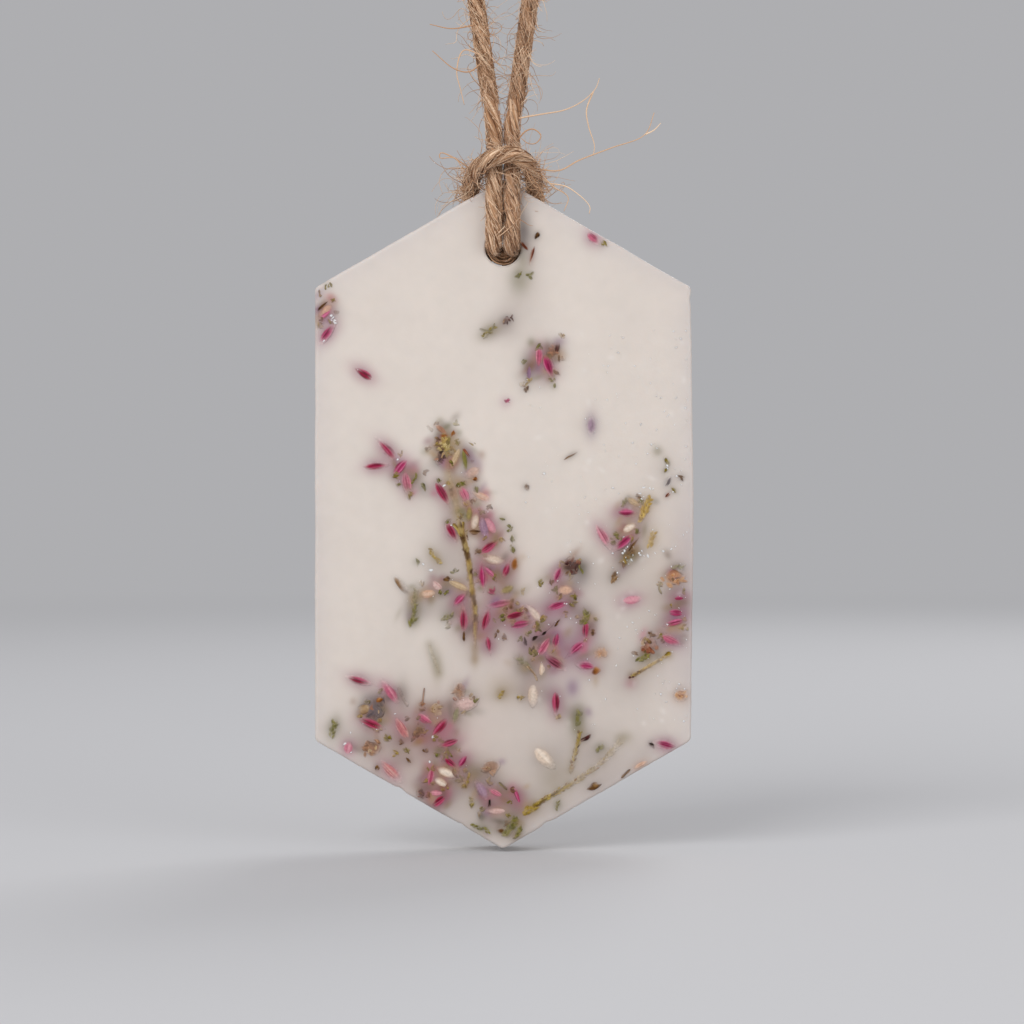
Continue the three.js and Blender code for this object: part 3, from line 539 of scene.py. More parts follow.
# Long loose fibres of the twine: across, forward and up from the hole
STRAYS = [
    [(2.3, -0.6, 19.5), (5.6, -1.2, 20.0), (9.2, -1.8, 20.6), (11.8, -2.0, 21.9), (13.6, -1.6, 23.7),
     (14.2, -1.2, 25.3)],
    [(13.3, -1.7, 23.3), (12.3, -1.4, 20.6), (12.6, -1.0, 18.3), (13.5, -0.6, 15.4), (13.3, -0.4, 14.0)],
    [(4.4, -5.0, 11.6), (8.2, -5.6, 11.2), (11.1, -5.4, 12.7), (15.8, -4.6, 14.6), (20.8, -3.6, 16.7),
     (22.2, -3.0, 20.0)],
    [(20.8, -3.6, 16.7), (22.1, -3.8, 17.3), (23.1, -4.2, 18.3)],
    [(4.6, -4.6, 11.9), (7.2, -6.0, 8.9), (9.5, -5.6, 7.3), (8.9, -5.2, 5.3)],
    [(4.9, -3.0, 11.0), (6.6, -4.2, 9.6), (9.5, -5.0, 8.8), (12.7, -4.8, 6.0), (12.6, -4.6, 5.0)],
    [(-4.3, -5.0, 11.2), (-7.7, -5.8, 13.3), (-9.1, -6.0, 13.7), (-9.2, -6.0, 13.0), (-7.0, -6.2, 12.9),
     (-5.4, -6.4, 10.5)],
    [(-3.6, -0.8, 33.4), (-5.1, -1.0, 33.0), (-7.7, -1.4, 32.6), (-10.8, -1.6, 33.2)],
    [(-2.9, -0.8, 27.9), (-5.0, -1.6, 26.2), (-7.2, -2.0, 26.6), (-10.4, -2.2, 29.2)],
    [(-2.8, -0.8, 28.6), (-5.8, -1.4, 29.4), (-6.8, -1.8, 26.2), (-6.2, -2.0, 23.4), (-5.7, -2.0, 21.3)],
    [(2.2, -0.8, 16.3), (3.4, -1.6, 17.5), (4.5, -2.0, 17.7), (5.6, -2.2, 16.7), (4.8, -2.2, 15.6),
     (3.7, -2.0, 15.6), (2.7, -1.6, 16.4)],
    [(-2.5, -4.8, 0.2), (-1.6, -6.4, 1.2), (-0.6, -7.0, 2.0), (0.3, -7.1, 2.9)],
    [(-2.3, -6.5, 7.0), (-1.3, -7.1, 5.9), (-0.2, -6.9, 4.6)],
    [(2.4, -6.5, 4.2), (1.5, -7.1, 3.2), (0.4, -7.0, 2.2), (-0.8, -7.0, 1.3)],
    [(0.9, -7.0, 5.2), (1.9, -7.0, 5.9), (2.6, -6.3, 6.2)],
]

# Stage, light and camera, in metres
FLOOR_GAP = 0.0006
FLOOR_HALF = 6
FLOOR_FADE = (0.25, 1.4)  # from the object
STUDIO_LEVEL = 0.75
LIGHT_TARGET = (0, 0, -0.09)
# Name, place, size and power of each light
LIGHTS = [
    ("key", (-0.55, -0.85, 0.45), 0.7, 7.4),
    ("fill", (0.75, -0.7, 0.1), 0.8, 3.6),
    ("back", (0.4, 0.8, 0.6), 0.6, 3.5),
]
# Width of the picture at the face and its middle from the hole, with the lens, in millimetres
PICTURE_WIDTH = 149.7
PICTURE_MIDDLE = (1.32, -38.6)
LENS, SENSOR_WIDTH = 100, 36


def in_frame(points):
    """Points in millimetres from the hole, as metres in the frame."""
    return np.asarray(points, float) * MM + HOLE_AT


def from_hole(node):
    """A node's points in millimetres from the hole."""
    return np.array([vertex.co for vertex in frame["nodes"][node].data.vertices]) / MM - HOLE_AT / MM


def unit(vectors):
    return vectors / np.maximum(np.linalg.norm(vectors, axis=-1, keepdims=True), 1e-12)


def mix(a, b, share):
    share = np.asarray(share, float)[..., None]
    return a * (1 - share) + b * share


def smooth(value, low, high):
    share = np.clip((value - low) / (high - low), 0, 1)
    return share * share * (3 - 2 * share)


def bell(across, up):
    return np.exp(-0.5 * (across**2 + up**2))


def lengths_along(line):
    """Length of a line up to each of its points."""
    return np.concatenate([[0], np.cumsum(np.linalg.norm(np.diff(line, axis=0), axis=1))])


def angles(sides, start=0.0):
    """Even angles round a full turn."""
    return np.linspace(start, start + 2 * math.pi, sides, endpoint=False)


def rays(angle, normal, side):
    """Directions at each angle round each point of a line, from its two cross directions."""
    return np.cos(angle)[:, None] * normal[..., None, :] + np.sin(angle)[:, None] * side[..., None, :]


def beside(x, z, turn, ahead, aside=0.0):
    """A place on the face, ahead and aside of another by the way that one is turned."""
    across = ahead * math.cos(turn) - aside * math.sin(turn)
    return x + across, z + ahead * math.sin(turn) + aside * math.cos(turn)


def ripple(coordinates, wavelength, seed, waves=9):
    """Smooth noise from about -1 to 1."""
    pick = np.random.default_rng(seed)
    total = np.zeros(len(coordinates))
    for _ in range(waves):
        heading = pick.normal(size=coordinates.shape[1])
        heading *= pick.uniform(0.6, 1.6) / np.linalg.norm(heading)
        total += np.sin(coordinates @ heading * 2 * math.pi / wavelength + pick.uniform(0, 2 * math.pi))
    return total / math.sqrt(waves)


def ripples(coordinates, rows):
    """Ripples of a height, a wavelength and a seed each, added up."""
    return sum(height * ripple(coordinates, wavelength, seed) for height, wavelength, seed in rows)


def new_seed(source=draw):
    return int(source.integers(1 << 30))


class Batch:
    """Points, faces and colours that become one piece."""

    def __init__(self):
        self.points, self.faces, self.colours, self.lays = [], [], [], []
        self.count = 0

    def add(self, points, faces, colours, lays=None):
        self.points.append(points)
        self.colours.append(colours)
        self.lays.append(np.zeros((len(points), 3)) if lays is None else lays)
        self.faces.extend([tuple(int(i) + self.count for i in face) for face in faces])
        self.count += len(points)

    def piece(self, name, material, slot):
        mesh = bpy.data.meshes.new(name)
        mesh.from_pydata(in_frame(np.concatenate(self.points)).tolist(), [], self.faces)
        colours = np.concatenate(self.colours)
        tint = mesh.attributes.new("tint", "FLOAT_COLOR", "POINT")
        tint.data.foreach_set("color", np.column_stack([colours, np.ones(len(colours))]).ravel())
        lay = mesh.attributes.new("lay", "FLOAT_VECTOR", "POINT")
        lay.data.foreach_set("vector", np.concatenate(self.lays).ravel())
        mesh.materials.append(material)
        mesh.polygons.foreach_set("use_smooth", [True] * len(mesh.polygons))
        made = bpy.data.objects.new(name, mesh)
        bpy.context.scene.collection.objects.link(made)
        return made


def tube_faces(rings, sides):
    """Quads of a tube, and a fan at each end round one of the two points after its rings."""
    ring, side = np.meshgrid(np.arange(rings - 1), np.arange(sides), indexing="ij")
    a = ring * sides + side
    b = ring * sides + (side + 1) % sides
    faces = np.stack([a, b, b + sides, a + sides], -1).reshape(-1, 4).tolist()
    last = (rings - 1) * sides
    for i in range(sides):
        faces.append((rings * sides, (i + 1) % sides, i))
        faces.append((rings * sides + 1, last + i, last + (i + 1) % sides))
    return faces


# Materials

def add_node(tree, kind, **sockets):
    """A shader node whose sockets are set to a value, or linked where an output is given."""
    node = tree.nodes.new(f"ShaderNode{kind}")
    fill_sockets(tree, node, sockets)
    return node


def fill_sockets(tree, node, sockets):
    for name, value in sockets.items():
        socket = node.inputs[name.replace("_", " ")]
        if isinstance(value, bpy.types.NodeSocket):
            tree.links.new(value, socket)
        else:
            socket.default_value = value


def shader_material(name, **sockets):
    """A principled material, its node tree and its shader."""
    material = bpy.data.materials.new(name)
    material.use_nodes = True
    tree = material.node_tree
    shader = tree.nodes["Principled BSDF"]
    fill_sockets(tree, shader, sockets)
    return material, tree, shader


def object_place(tree):
    return add_node(tree, "TexCoord").outputs["Object"]


def attribute(tree, name):
    node = add_node(tree, "Attribute")
    node.attribute_name = name
    return node


def noise(tree, vector, scale, detail):
    return add_node(tree, "TexNoise", Vector=vector, Scale=scale, Detail=detail).outputs["Fac"]


def shade_by(tree, shader, grain, low, high):
    """The piece's tint, made darker and lighter by a grain, is the shader's colour."""
    spread = add_node(tree, "MapRange", Value=grain, From_Min=0.3, From_Max=0.7, To_Min=low, To_Max=high)
    scale = add_node(tree, "VectorMath")
    scale.operation = "SCALE"
    tint = attribute(tree, "tint").outputs["Color"]
    fill_sockets(tree, scale, {"Vector": tint, "Scale": spread.outputs["Result"]})
    fill_sockets(tree, shader, {"Base Color": scale.outputs["Vector"]})


def bump_by(tree, shader, grain, strength, distance):
    bump = add_node(tree, "Bump", Height=grain, Strength=strength, Distance=distance)
    fill_sockets(tree, shader, {"Normal": bump.outputs["Normal"]})


def wax_material():
    material, tree, shader = shader_material(
        "wax", Roughness=0.5, Specular_IOR_Level=0.4, Subsurface_Weight=0.35, Subsurface_Scale=0.0012,
        Subsurface_Radius=(1.0, 0.8, 0.65),
    )
    place = object_place(tree)
    shade_by(tree, shader, noise(tree, place, scale=420, detail=5), low=0.985, high=1.015)
    bump_by(tree, shader, noise(tree, place, scale=900, detail=4), strength=0.12, distance=0.0002)
    return material


def plant_material(name, roughness, scale):
    material, tree, shader = shader_material(name, Roughness=roughness, Specular_IOR_Level=0.14)
    grain = noise(tree, object_place(tree), scale, detail=4)
    shade_by(tree, shader, grain, low=0.86, high=1.14)
    bump_by(tree, shader, grain, strength=0.35, distance=0.0001)
    return material


def jute_material():
    material, tree, shader = shader_material(
        "jute", Roughness=0.85, Specular_IOR_Level=0.25, Sheen_Weight=0.15, Sheen_Roughness=0.5,
    )
    grain = noise(tree, attribute(tree, "lay").outputs["Vector"], scale=1.0, detail=4)
    shade_by(tree, shader, grain, low=0.72, high=1.2)
    bump_by(tree, shader, grain, strength=0.5, distance=0.00012)
    return material


def floor_material():
    """Pale and matt, fading into the studio's own colour far from the object."""
    material, tree, shader = shader_material("floor", Base_Color=(*FLOOR_COLOUR, 1), Roughness=0.9)
    far = add_node(tree, "Emission", Color=(*STUDIO_COLOUR, 1), Strength=STUDIO_LEVEL)
    distance = add_node(tree, "VectorMath")
    distance.operation = "LENGTH"
    fill_sockets(tree, distance, {"Vector": object_place(tree)})
    near, away = FLOOR_FADE
    fade = add_node(tree, "MapRange", Value=distance.outputs["Value"], From_Min=near, From_Max=away)
    fade.interpolation_type = "SMOOTHSTEP"
    blend = add_node(tree, "MixShader", Fac=fade.outputs["Result"])
    tree.links.new(shader.outputs["BSDF"], blend.inputs[1])
    tree.links.new(far.outputs["Emission"], blend.inputs[2])
    tree.links.new(blend.outputs["Shader"], tree.nodes["Material Output"].inputs["Surface"])
    return material


WAX = wax_material()
PETAL = plant_material("petal", roughness=0.6, scale=2600)
FOLIAGE = plant_material("foliage", roughness=0.7, scale=3200)
STALK = plant_material("stalk", roughness=0.75, scale=2400)
TWINE = jute_material()
FLOOR = floor_material()


# Twine

def curve_through(controls, step, samples=40):
    """Even points along a centripetal Catmull-Rom curve, worked out at some samples between controls."""
    controls = np.asarray(controls, float)
    ends = [2 * controls[0] - controls[1], 2 * controls[-1] - controls[-2]]
    p = np.vstack([ends[0], controls, ends[1]])
    knots = np.sqrt(np.linalg.norm(np.diff(p, axis=0), axis=1))
    share = np.linspace(0, 1, samples, endpoint=False)[:, None]
    a = 2 * share**3 - 3 * share**2 + 1
    b = share**3 - 2 * share**2 + share
    c = share**3 - share**2
    line = []
    for i in range(1, len(p) - 2):
        d0, d1, d2 = knots[i - 1 : i + 2]
        leave = (p[i] - p[i - 1]) / d0 - (p[i + 1] - p[i - 1]) / (d0 + d1) + (p[i + 1] - p[i]) / d1
        arrive = (p[i + 1] - p[i]) / d1 - (p[i + 2] - p[i]) / (d1 + d2) + (p[i + 2] - p[i + 1]) / d2
        line.append(a * p[i] + b * d1 * leave + (1 - a) * p[i + 1] + c * d1 * arrive)
    line = np.vstack([*line, p[-2:-1]])
    along = lengths_along(line)
    even = np.linspace(0, along[-1], max(2, round(along[-1] / step) + 1))
    return np.column_stack([np.interp(even, along, line[:, k]) for k in range(3)])


class Route:
    """A line with its length so far and a frame carried along it without twisting."""

    def __init__(self, line):
        self.line = line
        self.along = lengths_along(line)
        self.heading = unit(np.gradient(line, axis=0))
        normal = np.cross(self.heading[0], ROUTE_SIDE)
        self.normal = np.zeros_like(line)
        for i, heading in enumerate(self.heading):
            normal = normal - heading * (normal @ heading)
            normal /= np.linalg.norm(normal)
            self.normal[i] = normal
        self.side = np.cross(self.heading, self.normal)

    def part(self, first, last):
        """The stretch between two of its points, with the same frame."""
        cut = object.__new__(Route)
        for key, value in vars(self).items():
            setattr(cut, key, value[first:last])
        return cut


def leg_side(side):
    """Half of the loop, from the top of its crown down to the fold."""
    points = []
    for turn in np.linspace(0, math.pi / 2 + LEG_SPLAY, CROWN_POINTS):
        points.append((side * CROWN_RADIUS * math.sin(turn), 0, CROWN_Z + CROWN_RADIUS * math.cos(turn)))
    top, foot = np.array(points[-1]), np.array([side * STRAND_X, 0, FOLD_Z])
    points += [tuple(top + (foot - top) * share) for share in (0.25, 0.5, 0.75, 1)]
    return points


def hitch_side(side):
    """One side of the hitch, from the loop's foot down the front, through the hole, up the back and
    round an ear to the bar in front."""
    foot_z = FOLD_Z - TWINE_RADIUS - CLEARANCE
    turn_y = FACE_Y - HOLE_BEND
    diagonal = HOLE_BEND * math.sqrt(0.5)
    rocked = END_SLOPE + ROCK_ANGLE
    ear_reach = HOLE_DROP * math.cos(END_SLOPE) + TWINE_RADIUS + CLEARANCE
    cross_z = (ear_reach - EAR_SPREAD * math.sin(rocked)) / math.cos(rocked)
    rise = BAR_Z - cross_z
    drop = BAR_DROP if side < 0 else 0
    lean = [(STRAND_X, -FACE_Y * back, TIP_Z + (foot_z - TIP_Z) * up)
            for back, up in ((0, 1), (0.08, 0.78), (0.42, 0.5), (0.82, 0.25), (1, 0))]
    points = lean + [
        (STRAND_X, -FACE_Y, 0.6 * TIP_Z),
        (STRAND_X, -FACE_Y, HOLE_BEND),
        (STRAND_X, -turn_y - diagonal, HOLE_BEND - diagonal),
        (STRAND_X, -turn_y, 0),
        (STRAND_X, 0, 0),
        (STRAND_X, turn_y, 0),
        (STRAND_X, turn_y + diagonal, HOLE_BEND - diagonal),
        (0.33 * EAR_SPREAD, FACE_Y, HOLE_BEND),
        (0.6 * EAR_SPREAD, FACE_Y, 0.35 * cross_z),
        (0.85 * EAR_SPREAD, FACE_Y, 0.57 * cross_z),
        (1.02 * EAR_SPREAD, FACE_Y, 0.82 * cross_z),
        (EAR_SPREAD, 0.92 * FACE_Y, cross_z),
        (EAR_SPREAD, 0.2 * FACE_Y, cross_z + 0.06 * rise),
        (0.97 * EAR_SPREAD, -0.45 * FACE_Y, cross_z + 0.2 * rise - 0.3 * drop),
        (0.86 * EAR_SPREAD, 0.68 * BAR_Y, cross_z + 0.52 * rise - 0.8 * drop),
        (0.62 * EAR_SPREAD, 0.93 * BAR_Y, cross_z + 0.82 * rise - drop),
        (0.3 * EAR_SPREAD, BAR_Y, cross_z + 0.98 * rise - 0.7 * drop),
    ]
    return [(side * x, y, z) for x, y, z in points]


def twine_route():
    """The whole twine from the knot down the left, through the hitch and up the right."""
    left = leg_side(-1) + hitch_side(-1)
    right = leg_side(1) + hitch_side(1)
    return Route(curve_through([*left, (0, BAR_Y, BAR_Z - 0.25 * BAR_DROP), *right[::-1]], ROUTE_STEP))


def jute_tint(light):
    """Colour of jute from dark at 0 to pale at 1."""
    return mix(mix(JUTE[0], JUTE[1], smooth(light, 0.0, 0.5)), JUTE[2], smooth(light, 0.45, 1.0))


def ply_ridges(angle, along, seed):
    """Bundles of fibre round a ply, which wander as they go along it."""
    pick = np.random.default_rng(seed)
    total = np.zeros(np.broadcast(angle, along).shape)
    for waves in RIDGE_WAVES:
        wander = RIDGE_WANDER * np.sin(along / pick.uniform(*WANDER_LENGTHS) + pick.uniform(*ANY_PHASE))
        total += np.sin(waves * angle + wander + pick.uniform(*ANY_PHASE)) / math.sqrt(waves)
    return total


def lay_twine(batch, route, fray=0.0, seed=0):
    """Three twisted plies along a route. Fray is how far the plies open at each of its points."""
    fray = np.broadcast_to(fray, len(route.line))[:, None]
    angle = angles(PLY_SIDES, -math.pi)
    along = route.along[:, None]
    for ply in range(PLIES):
        turn = -2 * math.pi * along / LAY_LENGTH + 2 * math.pi * ply / PLIES
        out = np.cos(turn) * route.normal + np.sin(turn) * route.side
        side = -np.sin(turn) * route.normal + np.cos(turn) * route.side
        fibre = angle + FIBRE_LAY * turn
        ridges = ply_ridges(fibre, along, seed + ply)
        swell = 1 + PLY_SWELL * np.sin(along / SWELL_LENGTH + SWELL_SHIFT * ply + seed)
        radius = PLY_RADIUS * swell * (1 + RIDGE_HEIGHT * ridges) * (1 - FRAY_SLIM * fray)
        middle = route.line + (PLY_OFFSET + FRAY_REACH * fray) * out
        rings = middle[:, None, :] + radius[..., None] * rays(angle, out, side)
        reach = np.linalg.norm(rings - route.line[:, None, :], axis=2)
        light = PLY_LIGHT + RIDGE_LIGHT * ridges + SWAY_LIGHT * np.sin(along / SWAY_LENGTH + ply)
        # Painted shade: the twine is darker where its surface lies nearer its middle, deepest in the grooves
        # between the plies
        tint = jute_tint(light * smooth(reach, *GROOVE_SHADE_REACH))
        lays = np.stack(np.broadcast_arrays(fibre * PLY_RADIUS * GRAIN_LENGTH, along, PLY_GRAIN * ply), -1)
        points = np.vstack([rings.reshape(-1, 3), middle[0], middle[-1]])
        colours = np.vstack([tint.reshape(-1, 3), JUTE[0], JUTE[0]])
        lays = np.vstack([lays.reshape(-1, 3), np.zeros((2, 3))])
        batch.add(points, tube_faces(len(route.line), PLY_SIDES), colours, lays)


def thread(batch, line, radius, light, sides=3):
    """One loose fibre, thinner towards its tip."""
    line = np.asarray(line, float)
    heading = unit(np.gradient(line, axis=0))
    normal = unit(np.cross(heading, THREAD_SIDE))
    taper = (radius * np.linspace(1, THREAD_TIP, len(line)))[:, None, None]
    rings = line[:, None, :] + taper * rays(angles(sides), normal, np.cross(heading, normal))
    points = np.vstack([rings.reshape(-1, 3), line[:1], line[-1:]])
    batch.add(points, tube_faces(len(line), sides), np.tile(jute_tint(light), (len(points), 1)))


def add_fuzz(batch, route, count, longest, lift):
    """Loose fibres that curl off a stretch of twine."""
    for _ in range(count):
        at = draw.integers(2, len(route.line) - 2)
        turn = draw.uniform(0, 2 * math.pi)
        out = math.cos(turn) * route.normal[at] + math.sin(turn) * route.side[at]
        heading = unit(route.heading[at] * draw.choice([-1, 1]) + out * draw.uniform(*lift))
        length = longest * draw.uniform(*FIBRE_SHARES) ** FIBRE_SHORTNESS
        steps = max(4, round(length / FIBRE_STEP))
        bend = draw.normal(size=3) * draw.uniform(*FIBRE_BENDS)
        point = route.line[at] + out * TWINE_RADIUS * draw.uniform(*FIBRE_ROOTS)
        line = [point]
        for _ in range(steps):
            heading = unit(heading + np.cross(heading, bend) + draw.normal(size=3) * FIBRE_WAVER)
            point = point + heading * length / steps
            line.append(point)
        thread(batch, line, draw.uniform(*FIBRE_RADII), draw.uniform(*FIBRE_LIGHTS))


def add_nap(batch, route, count):
    """Fibres that lie on the twine, more or less along its plies, and soften its grooves."""
    last = len(route.line) - 1
    share = np.linspace(0, 1, FIBRE_POINTS)
    for _ in range(count):
        span = draw.uniform(*NAP_LENGTHS) / ROUTE_STEP
        rows = draw.uniform(-1, last - span + 1) + np.linspace(0, span, FIBRE_POINTS)
        rows = np.clip(rows.round(), 0, last).astype(int)
        slant = -2 * math.pi / LAY_LENGTH * draw.normal(*NAP_SLANT)
        turn = draw.uniform(0, 2 * math.pi) + slant * route.along[rows] + NAP_WAVER * np.sin(5 * share)
        lift = draw.uniform(*NAP_LIFTS) + draw.uniform(*NAP_TIPS) * share**2
        out = np.cos(turn)[:, None] * route.normal[rows] + np.sin(turn)[:, None] * route.side[rows]
        line = route.line[rows] + (PLY_OFFSET + PLY_RADIUS) * lift[:, None] * out
        if np.linalg.norm(np.diff(line, axis=0), axis=1).min() > SHORTEST_STEP:
            thread(batch, line, draw.uniform(*FIBRE_RADII), draw.uniform(*NAP_LIGHTS))


def add_hole_fluff(batch, count):
    """Broken fibres that gather below the strands inside the hole, kept dark as painted shade."""
    for _ in range(count):
        turn = np.linspace(*np.sort(draw.uniform(*FLUFF_ARC, 2)), FIBRE_POINTS)
        reach = draw.uniform(*FLUFF_REACHES) * HOLE_RADIUS
        depth = -HALF_THICKNESS + draw.uniform(*FLUFF_DEPTHS)
        wave = FLUFF_WAVE * np.sin(3 * turn + draw.uniform(*ANY_PHASE))
        rise = draw.uniform(*FLUFF_RISES)
        line = np.column_stack([reach * np.cos(turn), depth + wave, reach * np.sin(turn) + rise])
        thread(batch, line, draw.uniform(*FLUFF_RADII), draw.uniform(*FLUFF_LIGHTS))


def tail_point(side, reach):
    """A point on a tail's line, reach millimetres from the knot's centre."""
    across = math.sin(TAIL_SPLAY) * side * reach
    return (across, 0, LOOP_RISE + KNOT_RADIUS + math.cos(TAIL_SPLAY) * reach)


def knot_line(side):
    """A strand's wrap through the knot, from the crown to its tail."""
    share = np.linspace(0, 1, KNOT_POINTS)
    turn = (0.5 - 0.5 * side) * math.pi + KNOT_START + 2 * math.pi * KNOT_TURNS * share
    bulge = np.sin(math.pi * np.clip(share * BULGE_SKEW, 0, 1)) ** BULGE_FULLNESS
    reach = KNOT_WAIST + KNOT_BULGE * bulge
    height = LOOP_RISE + KNOT_FOOT + KNOT_HEIGHT * share
    wrap = np.column_stack([reach * np.cos(turn), KNOT_DEPTH * reach * np.sin(turn), height])
    entry = (side * ENTRY_SPREAD, 0, CROWN_Z + CROWN_RADIUS * ENTRY_RISE)
    return [entry, *wrap[1:-1], tail_point(side, KNOT_RADIUS + TAIL_START)]


def cut_tail(side):
    """A tail of the knot, its plies open and frayed at the cut."""
    batch = Batch()
    controls = [tail_point(side, KNOT_RADIUS + TAIL_LENGTH * share) for share in TAIL_SHARES]
    tail = Route(curve_through(controls, ROUTE_STEP))
    opening = [share * TAIL_LENGTH for share in FRAY_STRETCH]
    lay_twine(batch, tail, smooth(tail.along, *opening), TAIL_SEED)
    add_fuzz(batch, tail, *TAIL_FUZZ)
    add_nap(batch, tail, TAIL_NAP)
    brush = tail.part(int(BRUSH_START * len(tail.line)), None)
    for _ in range(BRUSH_FIBRES):
        at = draw.integers(0, len(brush.line))
        heading = unit(brush.heading[at] + BRUSH_SPLAY * draw.normal(size=3))
        start = brush.line[at] + draw.normal(size=3) * BRUSH_SPREAD
        reach = draw.uniform(*BRUSH_LENGTHS)
        line = [start + heading * reach * share for share in TAIL_SHARES]
        thread(batch, line, BRUSH_RADIUS, draw.uniform(*BRUSH_LIGHTS))
    return batch


def jute(batch, name):
    return batch.piece(name, TWINE, "jute")


def fold_blend(piece):
    """Bakes the piece's place into its points."""
    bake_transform(piece)


def twist_blend(piece):
    """Bakes the piece's place into its points."""
    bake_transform(piece)


def tie_loop(*halves):
    """The loop's twine and its loose fibres."""
    twine, fuzz = Batch(), Batch()
    for half in halves:
        lay_twine(twine, half)
        for fibres in LOOP_FUZZ:
            add_fuzz(fuzz, half, *fibres)
        add_nap(fuzz, half, LOOP_NAP)
    pieces = [jute(twine, "loop_twine"), jute(fuzz, "loop_fuzz")]
    for piece in pieces:
        twist_blend(piece)
    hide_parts("left_leg", "right_leg", "left_arc", "right_arc")
    return pieces


def tie_hitch(hitch):
    """The hitch's twine, its loose fibres, which crowd on its ears, and the long stray ones."""
    twine, fuzz, strays = Batch(), Batch(), Batch()
    lay_twine(twine, hitch)
    add_fuzz(fuzz, hitch, *HITCH_FUZZ)
    add_nap(fuzz, hitch, HITCH_NAP)
    add_hole_fluff(fuzz, HOLE_FLUFF)
    across, _, up = hitch.line.T
    over = np.flatnonzero((np.abs(across) > EAR_SHARE * EAR_SPREAD) & (up > EAR_SHARE * TIP_Z))
    for ear in np.split(over, np.flatnonzero(np.diff(over) > 1) + 1):
        add_fuzz(fuzz, hitch.part(ear[0], ear[-1]), *EAR_FUZZ)
    for controls in STRAYS:
        line = curve_through(controls, STRAY_STEP)
        thread(strays, line, STRAY_RADIUS, draw.uniform(*STRAY_LIGHTS), sides=5)
    pieces = [jute(twine, "hitch_twine"), jute(fuzz, "hitch_fuzz"), jute(strays, "stray_fibres")]
    for piece in pieces:
        fold_blend(piece)
    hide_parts("hitch")
    return pieces


def tie_knot():
    """The knot's two wraps, their loose fibres and the two tails."""
    wraps, fuzz, tails = Batch(), Batch(), []
    for side in (-1, 1):
        wrap = Route(curve_through(knot_line(side), ROUTE_STEP))
        lay_twine(wraps, wrap, seed=KNOT_SEED)
        add_fuzz(fuzz, wrap, *KNOT_FUZZ)
        add_nap(fuzz, wrap, KNOT_NAP)
        tails.append(cut_tail(side))
    knot, fibres = jute(wraps, "knot_wraps"), jute(fuzz, "knot_fuzz")
    left, right = (jute(tail, f"{hand}_tail_end") for hand, tail in zip(("left", "right"), tails))
    for piece in (knot, fibres, left, right):
        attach(piece, "loop_top")
    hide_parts("top_knot")
    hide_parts("left_tail")
    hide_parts("right_tail")
    return [knot, fibres, left, right]


def hang_twine():
    route = twine_route()
    hitch_rows = np.flatnonzero(route.line[:, 2] < FOLD_Z + FOLD_REACH)
    first, last = hitch_rows[0], hitch_rows[-1] + 1
    loop_twine, loop_fuzz = tie_loop(route.part(0, first + 1), route.part(last - 1, None))
    hitch_twine, *hitch_fibres = tie_hitch(route.part(first, last))
    top = tie_knot()


# Heather

def node_pose(node):
    """Middle and turn of a pressed node on the face, with its upper end leading."""
    flat = from_hole(node)[:, [0, 2]]
    middle = (flat.max(0) + flat.min(0)) / 2
    spread = np.linalg.eigh(np.cov((flat - flat.mean(0)).T))[1][:, 1]
    if spread[1] < 0:
        spread = -spread
    return middle[0], middle[1], math.atan2(spread[1], spread[0])


def stem_line(node, sides=6):
    """Middles of a stem node's rings, from its upper end down."""
    points = np.unique(from_hole(node).round(4), axis=0)
    main = np.linalg.eigh(np.cov((points - points.mean(0)).T))[1][:, 2]
    main = main if main[2] < 0 else -main
    order = points[np.argsort(points @ main)]
    return order.reshape(-1, sides, 3).mean(1)


